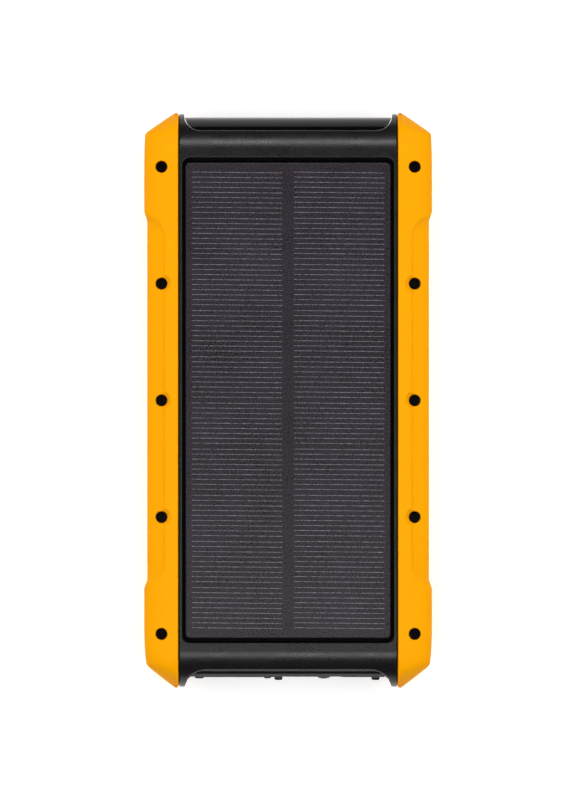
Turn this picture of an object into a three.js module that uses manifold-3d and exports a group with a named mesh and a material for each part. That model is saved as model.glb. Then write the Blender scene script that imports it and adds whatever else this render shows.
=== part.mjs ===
// A rugged solar power bank, as an assembly of its separate pieces. Millimetres, +Z up.
// The bank lies on its back: the solar panel faces +Z, the lamp end +Y and the socket end -Y.
// The origin is the middle of the footprint, on the surface that the bank lies on.
import * as THREE from "three";
import { mergeVertices } from "three/addons/utils/BufferGeometryUtils.js";
import Module from "manifold-3d";

const wasm = await Module();
wasm.setup();

// ---- Driving dimensions ----
const LENGTH = 172; // rail tip to rail tip
const WIDTH = 86; // over the rails
const THICKNESS = 28; // over the rails
const RAIL_PROUD = 1; // the rails stand this far above both faces of the shells
const WALL = 2; // shell wall
const GAP = 0.1; // between pieces that touch on flat faces
const FIT = 0.2; // between pieces that slide into each other
const MID_Z = THICKNESS / 2; // the two shells part here

// Shells
const SHELL = {
  halfLength: LENGTH / 2 - 0.2,
  halfWidth: 32.6, // the part between the rails
  low: RAIL_PROUD,
  high: THICKNESS - RAIL_PROUD,
  endRadius: 11, // the half-round ends
  wingHalfWidth: 40, // the side flanges inside the rails
  wingLow: 5.2,
  wingHigh: THICKNESS - 5.2,
  wingEnd: 81.4,
  wingCornerX: 36.2,
  wingCornerY: 78.7,
};
// Rails: one C-shaped bumper for each long side
const RAIL = {
  inner: 32.8,
  outer: WIDTH / 2,
  waist: 42.1, // outer face between the corner blocks
  waistFrom: 53.2,
  waistTo: 56.6,
  tipWidth: 1.9,
  shoulderX: 41.9,
  shoulderY: 80.7,
  endRadius: 12,
  pocketReach: FIT + 0.1, // how far the pocket is larger than the shells' flanges
  creaseX: 36.4, // inner edge of the sloped grip
  creaseY: 48,
  gripEndY: 54.8,
  gripInnerZ: THICKNESS - 0.1,
  gripOuterX: 42.4,
  gripOuterZ: THICKNESS - 3.4,
};
// Screws: five along each rail
const SCREW = {
  x: 37.8,
  pitch: 35,
  count: 5,
  headRadius: 1.6,
  headHeight: 1.2,
  seatZ: 24,
  boreRadius: 1.75,
  shankRadius: 1,
  length: 16,
  socketAcrossFlats: 1.5,
  socketDepth: 0.8,
  sides: 16,
};
// Solar panel and its recess in the front shell
const PANEL = {
  halfWidth: 30.6,
  halfLength: 71,
  cornerRadius: 1.3,
  recessHalfWidth: 31.6,
  recessHalfLength: 72.6,
  recessRadius: 2.3,
  leadHole: { halfWidth: 3.2, back: -68, front: -64 },
  lead: { halfWidth: 1.8, back: -66.6, front: -65.6, low: 16 },
  floorZ: 24,
  tape: 0.45,
  tapeBand: 4,
  board: 0.8,
  ribbon: 0.1,
  ribbonHalfWidth: 1,
  ribbonEnd: 1, // how far the ribbon stops short of the outer strips' ends
  cell: 0.2,
  laminate: 0.7,
  strips: 10,
  stripPitch: 13.92,
  stripGap: 0.32,
  columnInnerX: 1.5,
  columnOuterX: 28.95,
};
// End bays: the notch in each end of the shells, and the pocket for the bezel
const BAY = {
  wallY: 80.6,
  halfWidth: 26.2,
  cornerRadius: 5,
  socketHalfWidth: 24.6,
  socketCornerRadius: 6.8,
  pocketHalfWidth: 30.2,
  pocketLow: 5,
  pocketHigh: 23,
  pocketFloorY: 79,
};
// Inside of the closed case
const CAVITY = {
  halfWidth: 33.2,
  halfLength: 77,
  low: 3,
  high: 22,
  passageHalfWidth: 29.2,
  passageLow: 6,
  passageHigh: 22,
};
const SEAL = { x: 35, width: 1.2, height: 1.4, halfLength: 74 };
const GRIP = { count: 9, pitch: 11, width: 1.6, depth: 0.6, halfLength: 22 };
const POST = { x: 25.4, y: -63, radius: 2.6, pilot: 1 };
// Socket end, from the front face of the bezel inwards
const BEZEL = { face: -81, back: -79.8, halfWidth: 30, low: 5.2, high: 22.8, radius: 2 };
const BEZEL_SEAL_BAND = 0.7;
const LEDGE = { face: -82.6, thickness: 0.7 }; // over and under the covers, for the whole width
const POD = { face: -82.7, x0: -1, x1: 13.7, low: 6.2, high: THICKNESS - 6.2, radius: 2.5 };
const BOARD = { low: 9.4, high: 11, front: -77.8, back: -59, halfWidth: 28.5, hole: 1.3 };
const USB_A = {
  width: 13.1,
  height: 5.7,
  depth: 14,
  wall: 0.3,
  face: -80.4,
  tongueWidth: 11.1,
  tongueThickness: 1.84,
  tongueSetBack: 1.2,
  centres: [-20.6, 22.4],
};
const USB_C = {
  width: 8.94,
  height: 3.26,
  depth: 7.35,
  wall: 0.3,
  face: -80.4,
  tongueWidth: 6.7,
  tongueThickness: 0.7,
  tongueSetBack: 1.1,
  centre: -8.2,
};
const COVER = {
  back: -81.25,
  face: -82.8,
  low: 6.2,
  high: THICKNESS - 6.2,
  radius: 2.5,
  plugEnd: -79.9,
  plugClearance: 0.4,
  hingeY: -81.6,
  hingeReach: 0.4, // from the hinge axis to the near edge of the cover
  tabFace: -83.8,
  tabWidth: 2.4,
  tabLow: 10,
  tabHigh: 18,
};
const LEFT_COVER = { hingeX: -28.6, tip: -1.8, tabX: -2.9 };
const RIGHT_COVER = { hingeX: 15, tip: 29.2, tabX: 26.2 };
const ANCHOR = { reach: 0.6, width: 0.7, low: 8, high: 20, front: -81.5, end: -79.75 };
const BUTTON = {
  x: 10.7,
  z: 13.5,
  radius: 2.1,
  face: -83.5,
  domeRadius: 1.3,
  dome: 0.5,
  flangeRadius: 2.7,
  flange: 0.6,
  stemRadius: 1.1,
  stem: 0.9,
  travel: 0.5,
};
const SWITCH = {
  gap: 0.05, // from the button's stem to the plunger
  plungerHalfWidth: 1.3,
  plungerHalfHeight: 0.6,
  plungerLength: 2.2,
  setBack: 1,
  halfWidth: 3,
  depth: 3.6,
  above: 1.8, // over the button's middle
};
const GUIDE = {
  firstX: 1.4,
  pitch: 1.6,
  count: 4,
  z: 13.5,
  pinRadius: 0.55,
  face: -82.6,
  barMargin: 0.8,
  barDepth: 1.5,
  barHalfHeight: 1,
  sides: 12,
};
const INDICATOR = { halfWidth: 0.4, depth: 0.8, height: 0.6 };
// Parts on the circuit board
const COIL = { x0: -4, y0: -70, x1: 3, y1: -63, radius: 1.2, height: 4 };
const CHIP = { x0: 7, y0: -69, x1: 12, y1: -64, height: 0.9 };
const CAPACITOR = { x: 16.5, y: -62.5, radius: 2.1, height: 5.4 };
const BOARD_SCREW = { headRadius: 1.9, headHeight: 1.2, shankRadius: 0.9, tip: 4.5, sides: 16 };
// Lamp end
const LAMP = {
  inset: 1, // the window lies this far inside the half-round end
  wall: 1.8,
  x: 9.5,
  bowlMouth: 4.9,
  bowlBase: 2.6,
  housingHalfWidth: 16.5,
  housingLow: 8.5,
  housingHigh: 19.5,
  housingBack: 72,
  housingFront: 82,
  boardHalfWidth: 17,
  boardMargin: 0.5,
  boardThickness: 1.3,
  chipHalf: 1.7,
  chip: 0.8,
  domeFrom: 0.5,
  domeTo: 1.6,
  domeRadius: 1.4,
  domeTip: 0.9,
};
// Battery
const CELL = {
  halfWidth: 31,
  front: 66,
  back: -50,
  thickness: 8,
  cornerRadius: 2,
  low: 3.5,
  foam: 1,
  foamInsetX: 3,
  foamInsetY: 4,
  terrace: 6,
  terraceInset: 2,
  terraceLow: 3.4,
  terraceHigh: 4.4,
};
const TAB = { x: 18, halfWidth: 3, thickness: 0.3, setBack: 1 };
const GUARD = { halfWidth: 14, thickness: 1, gap: 0.5 };
// Leads, and the points that they pass through
const LEAD_RADIUS = 0.65;
const BATTERY_LEAD_ROUTE = [
  [9, -54.4, 13.3],
  [9, -57, 13.2],
  [9.9, -60.5, 12.1],
  [9.9, -62.5, 11.8],
];
const LAMP_LEAD_ROUTE = [
  [27.9, -60.8, 11.8],
  [29.1, -59.4, 12.3],
  [31.8, -56, 12.6],
  [32.1, -50, 12.6],
  [32.1, 0, 12.6],
  [32.1, 60, 12.6],
  [32.1, 67, 14],
  [30.3, 69.2, 14],
  [20, 69.8, 14],
  [14, 69.8, 14],
];

// ---- Materials ----
const finish = (color, roughness, metalness = 0) =>
  new THREE.MeshStandardMaterial({ color, roughness, metalness });
const material = {
  shell: finish(0x2a282a, 0.55),
  rail: finish(0xffa50a, 0.45),
  blackSteel: finish(0x151515, 0.4, 0.8),
  silicone: finish(0x3a3a3c, 0.8),
  tape: finish(0xd8d8d0, 0.9),
  panelBoard: finish(0x14161a, 0.6),
  cell: finish(0x24222a, 0.35, 0.2),
  laminate: finish(0x39363c, 0.3),
  window: finish(0x0c0c0e, 0.08),
  reflector: finish(0xd9dadc, 0.12, 1),
  aluminium: finish(0xb9bcc0, 0.4, 1),
  lampChip: finish(0xf2e28a, 0.4),
  cover: finish(0x2c2b2d, 0.7),
  steel: finish(0xb4b6ba, 0.3, 1),
  tongue: finish(0xe8e8e6, 0.5),
  circuitBoard: finish(0x0f4a2a, 0.5),
  ferrite: finish(0x3b3c40, 0.7),
  chip: finish(0x1a1a1c, 0.45),
  guide: finish(0xdfe6ea, 0.2),
  pouch: finish(0xa9acb0, 0.35, 0.9),
  nickel: finish(0xc6c3b8, 0.3, 1),
  redLead: finish(0xb01818, 0.5),
  blackLead: finish(0x161616, 0.5),
};

// ---- Solids ----
// Turns a closed geometry into a solid that can be cut and joined.
function solid(geometry) {
  const bare = geometry.clone();
  bare.deleteAttribute("normal");
  bare.deleteAttribute("uv");
  const merged = mergeVertices(bare, 1e-4);
  return new wasm.Manifold(
    new wasm.Mesh({
      numProp: 3,
      vertProperties: merged.attributes.position.array,
      triVerts: new Uint32Array(merged.index.array),
    }),
  );
}

// A box between two corners.
function block([x0, y0, z0], [x1, y1, z1]) {
  const geometry = new THREE.BoxGeometry(x1 - x0, y1 - y0, z1 - z0);
  return solid(geometry.translate((x0 + x1) / 2, (y0 + y1) / 2, (z0 + z1) / 2));
}

// A block with the same extent on both sides of x = 0.
const midBlock = (halfWidth, y0, z0, y1, z1) => block([-halfWidth, y0, z0], [halfWidth, y1, z1]);

const X = new THREE.Vector3(1, 0, 0);
const Y = new THREE.Vector3(0, 1, 0);
const Z = new THREE.Vector3(0, 0, 1);
const ARC_STEPS = 3; // a quarter circle takes twice this many straight pieces

// Extrudes a shape drawn in the XY plane from z0 to z1.
function alongZ(shape, z0, z1, steps = ARC_STEPS) {
  const options = { depth: z1 - z0, bevelEnabled: false, curveSegments: steps };
  return solid(new THREE.ExtrudeGeometry(shape, options).translate(0, 0, z0));
}

// Extrudes a shape drawn in the YZ plane from x0 to x1.
function alongX(shape, x0, x1, steps = ARC_STEPS) {
  const options = { depth: x1 - x0, bevelEnabled: false, curveSegments: steps };
  const geometry = new THREE.ExtrudeGeometry(shape, options);
  geometry.applyMatrix4(new THREE.Matrix4().makeBasis(Y, Z, X));
  return solid(geometry.translate(x0, 0, 0));
}

// Extrudes a shape drawn in the XZ plane from y0 to y1.
function alongY(shape, y0, y1, steps = ARC_STEPS) {
  const options = { depth: y1 - y0, bevelEnabled: false, curveSegments: steps };
  const geometry = new THREE.ExtrudeGeometry(shape, options);
  geometry.applyMatrix4(new THREE.Matrix4().makeBasis(X, Z, Y.clone().negate()));
  return solid(geometry.translate(0, y1, 0));
}

// A rectangle with round corners, as a shape.
function roundedRect(x0, y0, x1, y1, r) {
  return new THREE.Shape()
    .absarc(x1 - r, y0 + r, r, -Math.PI / 2, 0)
    .absarc(x1 - r, y1 - r, r, 0, Math.PI / 2)
    .absarc(x0 + r, y1 - r, r, Math.PI / 2, Math.PI)
    .absarc(x0 + r, y0 + r, r, Math.PI, Math.PI * 1.5);
}

// A straight round rod between two heights, standing on Z.
function rodZ(x, y, z0, z1, radius, sides = SCREW.sides) {
  const geometry = new THREE.CylinderGeometry(radius, radius, z1 - z0, sides);
  return solid(geometry.rotateX(Math.PI / 2).translate(x, y, (z0 + z1) / 2));
}

// A round rod along Y, which may be a cone: the radii are at y0 and y1.
function rodY(x, z, y0, y1, radius0, radius1 = radius0, sides = 24) {
  const geometry = new THREE.CylinderGeometry(radius1, radius0, y1 - y0, sides);
  return solid(geometry.translate(x, (y0 + y1) / 2, z));
}

// A round lead along a smooth path through the points.
function lead(points, radius, sides = 8) {
  const path = new THREE.CatmullRomCurve3(points.map((p) => new THREE.Vector3(...p)));
  const section = new THREE.Shape().absarc(0, 0, radius, 0, Math.PI * 2);
  const steps = Math.max(6, Math.round(path.getLength() / (radius * 8)));
  const options = { steps, extrudePath: path, curveSegments: sides / 2 };
  return solid(new THREE.ExtrudeGeometry(section, options));
}

const join = (first, ...rest) => rest.reduce((whole, piece) => whole.add(piece), first);
const cut = (first, ...rest) => rest.reduce((whole, piece) => whole.subtract(piece), first);

const bank = new THREE.Group();

// Adds a solid to the bank as a named piece.
function piece(name, body, look) {
  const { vertProperties, triVerts } = body.getMesh();
  const geometry = new THREE.BufferGeometry();
  geometry.setAttribute("position", new THREE.BufferAttribute(vertProperties, 3));
  geometry.setIndex(new THREE.BufferAttribute(triVerts, 1));
  geometry.computeVertexNormals();
  const mesh = new THREE.Mesh(geometry, look);
  mesh.name = name;
  bank.add(mesh);
}

// Where the five screws of a rail stand, along Y.
const screwPlaces = Array.from(
  { length: SCREW.count },
  (_, i) => (i - (SCREW.count - 1) / 2) * SCREW.pitch,
);

// ---- Shells ----
// Side view of a body with half-round ends.
function sideProfile(halfLength, low, high, radius) {
  return roundedRect(-halfLength, low, halfLength, high, radius);
}

// Plan of the notch in the end of the shells; grow widens it or, if negative, fits a piece in it.
function bayPlan(end, grow = 0) {
  const halfWidth = end > 0 ? BAY.halfWidth : BAY.socketHalfWidth;
  const corner = end > 0 ? BAY.cornerRadius : BAY.socketCornerRadius;
  const r = corner + grow;
  const centreY = BAY.wallY + corner;
  const beyond = LENGTH / 2 + WALL * 2;
  const shape = new THREE.Shape()
    .absarc(-halfWidth, centreY, r, Math.PI, Math.PI * 1.5)
    .absarc(halfWidth, centreY, r, Math.PI * 1.5, Math.PI * 2)
    .lineTo(halfWidth + r, beyond)
    .lineTo(-halfWidth - r, beyond);
  if (end > 0) return shape;
  const turned = shape.getPoints(ARC_STEPS).map((p) => new THREE.Vector2(-p.x, -p.y));
  return new THREE.Shape(turned);
}

// Plan of one of the flanges that lie inside the rails. side is 1 for +X; grow makes the pocket.
function flangePlan(side, grow = 0) {
  const corners = [
    [SHELL.halfWidth - 1, SHELL.wingEnd + grow],
    [SHELL.halfWidth - 1, -SHELL.wingEnd - grow],
    [SHELL.wingCornerX + grow, -SHELL.wingEnd - grow],
    [SHELL.wingHalfWidth + grow, -SHELL.wingCornerY - grow],
    [SHELL.wingHalfWidth + grow, SHELL.wingCornerY + grow],
    [SHELL.wingCornerX + grow, SHELL.wingEnd + grow],
  ].map(([x, y]) => new THREE.Vector2(side * x, y));
  return new THREE.Shape(side > 0 ? corners : corners.reverse());
}

// The outside of both shells together, with the notches and everything that they are hollowed for.
function shellEnvelope() {
  const profile = sideProfile(SHELL.halfLength, SHELL.low, SHELL.high, SHELL.endRadius);
  const body = join(
    alongX(profile, -SHELL.halfWidth, SHELL.halfWidth),
    alongZ(flangePlan(1), SHELL.wingLow, SHELL.wingHigh),
    alongZ(flangePlan(-1), SHELL.wingLow, SHELL.wingHigh),
  );
  const pocket = midBlock(
    BAY.pocketHalfWidth,
    -LENGTH / 2 - 5,
    BAY.pocketLow,
    -BAY.pocketFloorY,
    BAY.pocketHigh,
  );
  const cavity = midBlock(
    CAVITY.halfWidth,
    -CAVITY.halfLength,
    CAVITY.low,
    CAVITY.halfLength,
    CAVITY.high,
  );
  const passage = midBlock(
    CAVITY.passageHalfWidth,
    -BAY.pocketFloorY - 1,
    CAVITY.passageLow,
    -CAVITY.halfLength + 1,
    CAVITY.passageHigh,
  );
  const lampOpening = midBlock(
    LAMP.housingHalfWidth + FIT,
    CAVITY.halfLength - 1,
    LAMP.housingLow - FIT,
    LENGTH / 2,
    LAMP.housingHigh + FIT,
  );
  return cut(
    body,
    alongZ(bayPlan(1), -1, THICKNESS + 1),
    alongZ(bayPlan(-1), -1, THICKNESS + 1),
    pocket,
    cavity,
    passage,
    lampOpening,
  );
}

// Grooves for the seal cords and holes for the rail screws, on both sides.
function jointCuts() {
  const cuts = [];
  for (const side of [-1, 1]) {
    const sealX = side * SEAL.x;
    const half = SEAL.width / 2 + GAP;
    const reach = SEAL.halfLength + GAP;
    const depth = SEAL.height / 2 + GAP;
    cuts.push(
      block([sealX - half, -reach, MID_Z - depth], [sealX + half, reach, MID_Z + depth]),
    );
    for (const y of screwPlaces) {
      const end = SCREW.seatZ - SCREW.length - 0.5;
      cuts.push(rodZ(side * SCREW.x, y, end, THICKNESS, SCREW.shankRadius + FIT));
    }
  }
  return cuts;
}

function frontShell(envelope, cuts) {
  const half = block([-60, -100, MID_Z + GAP / 2], [60, 100, THICKNESS + 5]);
  const { recessHalfWidth: w, recessHalfLength: l, recessRadius: r } = PANEL;
  const recess = alongZ(roundedRect(-w, -l, w, l, r), PANEL.floorZ, THICKNESS + 1);
  const { halfWidth, back, front } = PANEL.leadHole;
  const leadHole = midBlock(halfWidth, back, CAVITY.high - 1, front, PANEL.floorZ + 1);
  return cut(envelope.intersect(half), recess, leadHole, ...cuts);
}

function backShell(envelope, cuts) {
  const half = block([-60, -100, -5], [60, 100, MID_Z - GAP / 2]);
  const ribs = [];
  for (let i = 0; i < GRIP.count; i++) {
    const y = (i - (GRIP.count - 1) / 2) * GRIP.pitch;
    const groove = [y - GRIP.width / 2, SHELL.low - 1, y + GRIP.width / 2, SHELL.low + GRIP.depth];
    ribs.push(midBlock(GRIP.halfLength, ...groove));
  }
  const posts = [-1, 1].map((side) =>
    cut(
      rodZ(side * POST.x, POST.y, CAVITY.low - 1, BOARD.low - GAP, POST.radius),
      rodZ(side * POST.x, POST.y, CAVITY.low + 1, BOARD.low + 1, POST.pilot),
    ),
  );
  return join(cut(envelope.intersect(half), ...ribs, ...cuts), ...posts);
}

// ---- Rails ----
// Plan of a rail's outside, for side 1, from the lower tip round by the outer face.
function railPlan(side) {
  const half = LENGTH / 2;
  const oneEnd = [
    [RAIL.inner, half],
    [RAIL.inner + RAIL.tipWidth, half],
    [RAIL.shoulderX - 0.5, RAIL.shoulderY + 0.3],
    [RAIL.shoulderX + 0.3, RAIL.shoulderY - 0.8],
    [RAIL.outer - 0.3, 76],
    [RAIL.outer, 71],
    [RAIL.outer, RAIL.waistTo],
    [RAIL.waist + 0.2, RAIL.waistFrom + 0.8],
    [RAIL.waist, RAIL.waistFrom],
  ];
  const otherEnd = oneEnd.map(([x, y]) => [x, -y]).reverse();
  const outline = [...oneEnd, ...otherEnd].map(([x, y]) => new THREE.Vector2(side * x, y));
  return new THREE.Shape(side > 0 ? outline.reverse() : outline);
}

// Cross-section of a rail: flat by the shells, then crowned towards the outer face.
function railSection(side) {
  const upper = [
    [RAIL.inner, 0],
    [35.6, 0],
    [38.4, 0.25],
    [40.6, 0.9],
    [42, 2],
    [42.8, 3.6],
    [RAIL.outer, 5.4],
  ];
  const top = upper.map(([x, drop]) => [x, THICKNESS - drop]);
  const bottom = upper.map(([x, drop]) => [x, drop]).reverse();
  const outline = [...top, ...bottom].map(([x, z]) => new THREE.Vector2(side * x, z));
  return new THREE.Shape(side > 0 ? outline.reverse() : outline);
}

// What the sloped grip takes off a rail, on the front; the back is its mirror.
function gripCut(side) {
  const slope = [
    [RAIL.creaseX, RAIL.gripInnerZ],
    [RAIL.gripOuterX, RAIL.gripOuterZ],
    [RAIL.outer + 2, RAIL.gripOuterZ],
    [RAIL.outer + 2, THICKNESS + 2],
    [RAIL.creaseX, THICKNESS + 2],
  ].map(([x, z]) => new THREE.Vector2(side * x, z));
  const wedge = alongY(
    new THREE.Shape(side > 0 ? slope : slope.reverse()),
    -RAIL.gripEndY,
    RAIL.gripEndY,
  );
  const reachX = RAIL.waist - RAIL.creaseX;
  const reachY = RAIL.gripEndY - RAIL.creaseY;
  const quarter = [];
  for (let i = 0; i <= 8; i++) {
    const angle = (i / 8) * (Math.PI / 2);
    const x = RAIL.waist - reachX * Math.cos(angle);
    quarter.push([x, RAIL.creaseY + reachY * Math.sin(angle)]);
  }
  const upperEnd = [...quarter, [RAIL.outer + 2, RAIL.gripEndY]];
  const lowerEnd = upperEnd.map(([x, y]) => [x, -y]).reverse();
  const plan = [...upperEnd, ...lowerEnd].map(([x, y]) => new THREE.Vector2(side * x, y));
  return wedge.intersect(
    alongZ(new THREE.Shape(side > 0 ? plan.reverse() : plan), -2, THICKNESS + 3),
  );
}

function rail(side) {
  const reach = [side * (RAIL.inner - 1), side * (RAIL.outer + 1)].sort((a, b) => a - b);
  const outside = alongZ(railPlan(side), 0, THICKNESS)
    .intersect(alongY(railSection(side), -LENGTH / 2 - 1, LENGTH / 2 + 1))
    .intersect(
      alongX(sideProfile(LENGTH / 2 + 1, 0, THICKNESS, RAIL.endRadius), reach[0], reach[1]),
    );
  const pocket = alongZ(
    flangePlan(side, RAIL.pocketReach),
    SHELL.wingLow - FIT,
    SHELL.wingHigh + FIT,
  );
  const frontGrip = gripCut(side);
  const backGrip = frontGrip.mirror([0, 0, 1]).translate([0, 0, THICKNESS]);
  const bores = screwPlaces.flatMap((y) => [
    rodZ(side * SCREW.x, y, SCREW.seatZ, THICKNESS + 1, SCREW.boreRadius),
    rodZ(side * SCREW.x, y, MID_Z, THICKNESS, SCREW.shankRadius + FIT),
  ]);
  return cut(outside, pocket, frontGrip, backGrip, ...bores);
}

function screw(x, y) {
  const top = SCREW.seatZ + SCREW.headHeight;
  const socketRadius = SCREW.socketAcrossFlats / Math.sqrt(3);
  return cut(
    join(
      rodZ(x, y, SCREW.seatZ + GAP / 2, top, SCREW.headRadius),
      rodZ(x, y, SCREW.seatZ - SCREW.length, SCREW.seatZ + GAP, SCREW.shankRadius),
    ),
    rodZ(x, y, top - SCREW.socketDepth, top + 1, socketRadius, 6),
  );
}

// ---- Solar panel ----
function solarPanel() {
  const { halfWidth: w, halfLength: l, cornerRadius: r } = PANEL;
  const outline = () => roundedRect(-w, -l, w, l, r);
  let z = PANEL.floorZ + GAP;
  const ring = outline();
  const band = PANEL.tapeBand;
  ring.holes.push(roundedRect(-w + band, -l + band, w - band, l - band, r));
  piece("solar_tape", alongZ(ring, z, z + PANEL.tape), material.tape);
  z += PANEL.tape + GAP / 2;
  piece("solar_board", alongZ(outline(), z, z + PANEL.board), material.panelBoard);
  z += PANEL.board + GAP / 2;
  for (const [name, side] of [["left", -1], ["right", 1]]) {
    const xs = [side * PANEL.columnInnerX, side * PANEL.columnOuterX].sort((a, b) => a - b);
    const middle = (xs[0] + xs[1]) / 2;
    const half = PANEL.ribbonHalfWidth;
    const run = (PANEL.strips * PANEL.stripPitch) / 2 - PANEL.ribbonEnd;
    const ribbonTop = z + PANEL.ribbon + PANEL.cell / 4;
    let string = block([middle - half, -run, z], [middle + half, run, ribbonTop]);
    for (let i = 0; i < PANEL.strips; i++) {
      const low = (i - PANEL.strips / 2) * PANEL.stripPitch + PANEL.stripGap / 2;
      const high = low + PANEL.stripPitch - PANEL.stripGap;
      const cellZ = z + PANEL.ribbon;
      string = string.add(block([xs[0], low, cellZ], [xs[1], high, cellZ + PANEL.cell]));
    }
    piece(`solar_cells_${name}`, string, material.cell);
  }
  z += PANEL.ribbon + PANEL.cell + GAP / 2;
  piece("solar_laminate", alongZ(outline(), z, z + PANEL.laminate), material.laminate);
}

// ---- Lamp end ----
function lamp() {
  const inset = LAMP.inset;
  const outer = sideProfile(
    SHELL.halfLength - inset,
    SHELL.low + inset,
    SHELL.high - inset,
    SHELL.endRadius - inset,
  );
  const hollowBy = inset + LAMP.wall;
  const inner = sideProfile(
    SHELL.halfLength - hollowBy,
    SHELL.low + hollowBy,
    SHELL.high - hollowBy,
    SHELL.endRadius - hollowBy,
  );
  const window = cut(
    alongX(outer, -SHELL.wingHalfWidth, SHELL.wingHalfWidth).intersect(
      alongZ(bayPlan(1, -FIT), 0, THICKNESS),
    ),
    alongX(inner, -BAY.halfWidth, BAY.halfWidth),
  );
  piece("lamp_window", window, material.window);
  const { housingLow: z0, housingHigh: z1, housingBack: y0, housingFront: y1 } = LAMP;
  const bowls = [-1, 1].map((side) =>
    rodY(side * LAMP.x, MID_Z, y0 - 0.1, y1 + 0.1, LAMP.bowlBase, LAMP.bowlMouth),
  );
  const housing = cut(midBlock(LAMP.housingHalfWidth, y0, z0, y1, z1), ...bowls);
  piece("lamp_reflector", housing, material.reflector);
  const boardFront = y0 - GAP;
  const lampBoard = midBlock(
    LAMP.boardHalfWidth,
    boardFront - LAMP.boardThickness,
    z0 - LAMP.boardMargin,
    boardFront,
    z1 + LAMP.boardMargin,
  );
  piece("lamp_board", lampBoard, material.aluminium);
  for (const [name, side] of [["left", -1], ["right", 1]]) {
    const x = side * LAMP.x;
    const half = LAMP.chipHalf;
    const body = block(
      [x - half, y0 - GAP / 2, MID_Z - half],
      [x + half, y0 + LAMP.chip, MID_Z + half],
    );
    const domeFrom = y0 + LAMP.domeFrom;
    const domeTo = y0 + LAMP.domeTo;
    const dome = rodY(x, MID_Z, domeFrom, domeTo, LAMP.domeRadius, LAMP.domeTip, SCREW.sides);
    piece(`lamp_led_${name}`, body.add(dome), material.lampChip);
  }
}

// ---- Socket end ----
// A rounded tube along Y with a square back, such as a receptacle's steel shell.
function receptacle(x, z, { width, height, depth, wall, face }, radius) {
  const half = width / 2;
  const outside = roundedRect(x - half, z, x + half, z + height, radius);
  const inside = roundedRect(
    x - half + wall,
    z + wall,
    x + half - wall,
    z + height - wall,
    radius - wall,
  );
  return cut(alongY(outside, face, face + depth), alongY(inside, face - 1, face + depth - wall));
}

function sockets() {
  const z = BOARD.high + GAP;
  const tongueOf = (x, kind, low) =>
    block(
      [x - kind.tongueWidth / 2, kind.face + kind.tongueSetBack, low],
      [
        x + kind.tongueWidth / 2,
        kind.face + kind.depth - kind.wall - GAP,
        low + kind.tongueThickness,
      ],
    );
  USB_A.centres.forEach((x, i) => {
    const name = ["left", "right"][i];
    piece(`usb_a_shell_${name}`, receptacle(x, z, USB_A, 0.5), material.steel);
    const low = z + USB_A.height - USB_A.wall - 0.6 - USB_A.tongueThickness;
    piece(`usb_a_tongue_${name}`, tongueOf(x, USB_A, low), material.tongue);
  });
  piece("usb_c_shell", receptacle(USB_C.centre, z, USB_C, 1.5), material.steel);
  const low = z + (USB_C.height - USB_C.tongueThickness) / 2;
  piece("usb_c_tongue", tongueOf(USB_C.centre, USB_C, low), material.chip);
}

// The bezel plate with the sockets' openings, a ledge above and one below them, and the raised
// pod around the power button.
function portBezel() {
  const { halfWidth: w, low, high, radius, face, back } = BEZEL;
  const z = BOARD.high + GAP;
  const through = (x0, z0, x1, z1, r) =>
    alongY(roundedRect(x0, z0, x1, z1, r), face - 1, back + 1);
  const holes = USB_A.centres.map((x) => {
    const half = USB_A.width / 2 + FIT;
    return through(x - half, z - FIT, x + half, z + USB_A.height + FIT, 0.6);
  });
  const halfC = USB_C.width / 2 + FIT;
  holes.push(
    through(USB_C.centre - halfC, z - FIT, USB_C.centre + halfC, z + USB_C.height + FIT, 1.6),
    rodY(BUTTON.x, BUTTON.z, POD.face - 1, back + 1, BUTTON.radius + FIT),
  );
  for (let i = 0; i < GUIDE.count; i++) {
    const x = GUIDE.firstX + i * GUIDE.pitch;
    const bore = GUIDE.pinRadius + GAP;
    holes.push(rodY(x, GUIDE.z, POD.face - 1, back + 1, bore, bore, GUIDE.sides));
  }
  for (const { hingeX } of [LEFT_COVER, RIGHT_COVER]) {
    const x = hingeX - ANCHOR.reach;
    const half = ANCHOR.width / 2 + GAP;
    holes.push(
      block([x - half, face - 1, ANCHOR.low - GAP], [x + half, back + 1, ANCHOR.high + GAP]),
    );
  }
  const pod = alongY(roundedRect(POD.x0, POD.low, POD.x1, POD.high, POD.radius), POD.face, back);
  const tray = midBlock(
    w + 1,
    LEDGE.face - 1,
    low + LEDGE.thickness,
    face,
    high - LEDGE.thickness,
  );
  const frame = cut(alongY(roundedRect(-w, low, w, high, radius), LEDGE.face, back), tray);
  piece("port_bezel", cut(frame.add(pod), ...holes), material.shell);
  const ring = roundedRect(-w, low, w, high, radius);
  const inset = BEZEL_SEAL_BAND;
  ring.holes.push(roundedRect(-w + inset, low + inset, w - inset, high - inset, radius - inset));
  const seal = alongY(ring, back + GAP, -BAY.pocketFloorY - GAP);
  piece("port_bezel_seal", seal, material.silicone);
}

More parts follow.
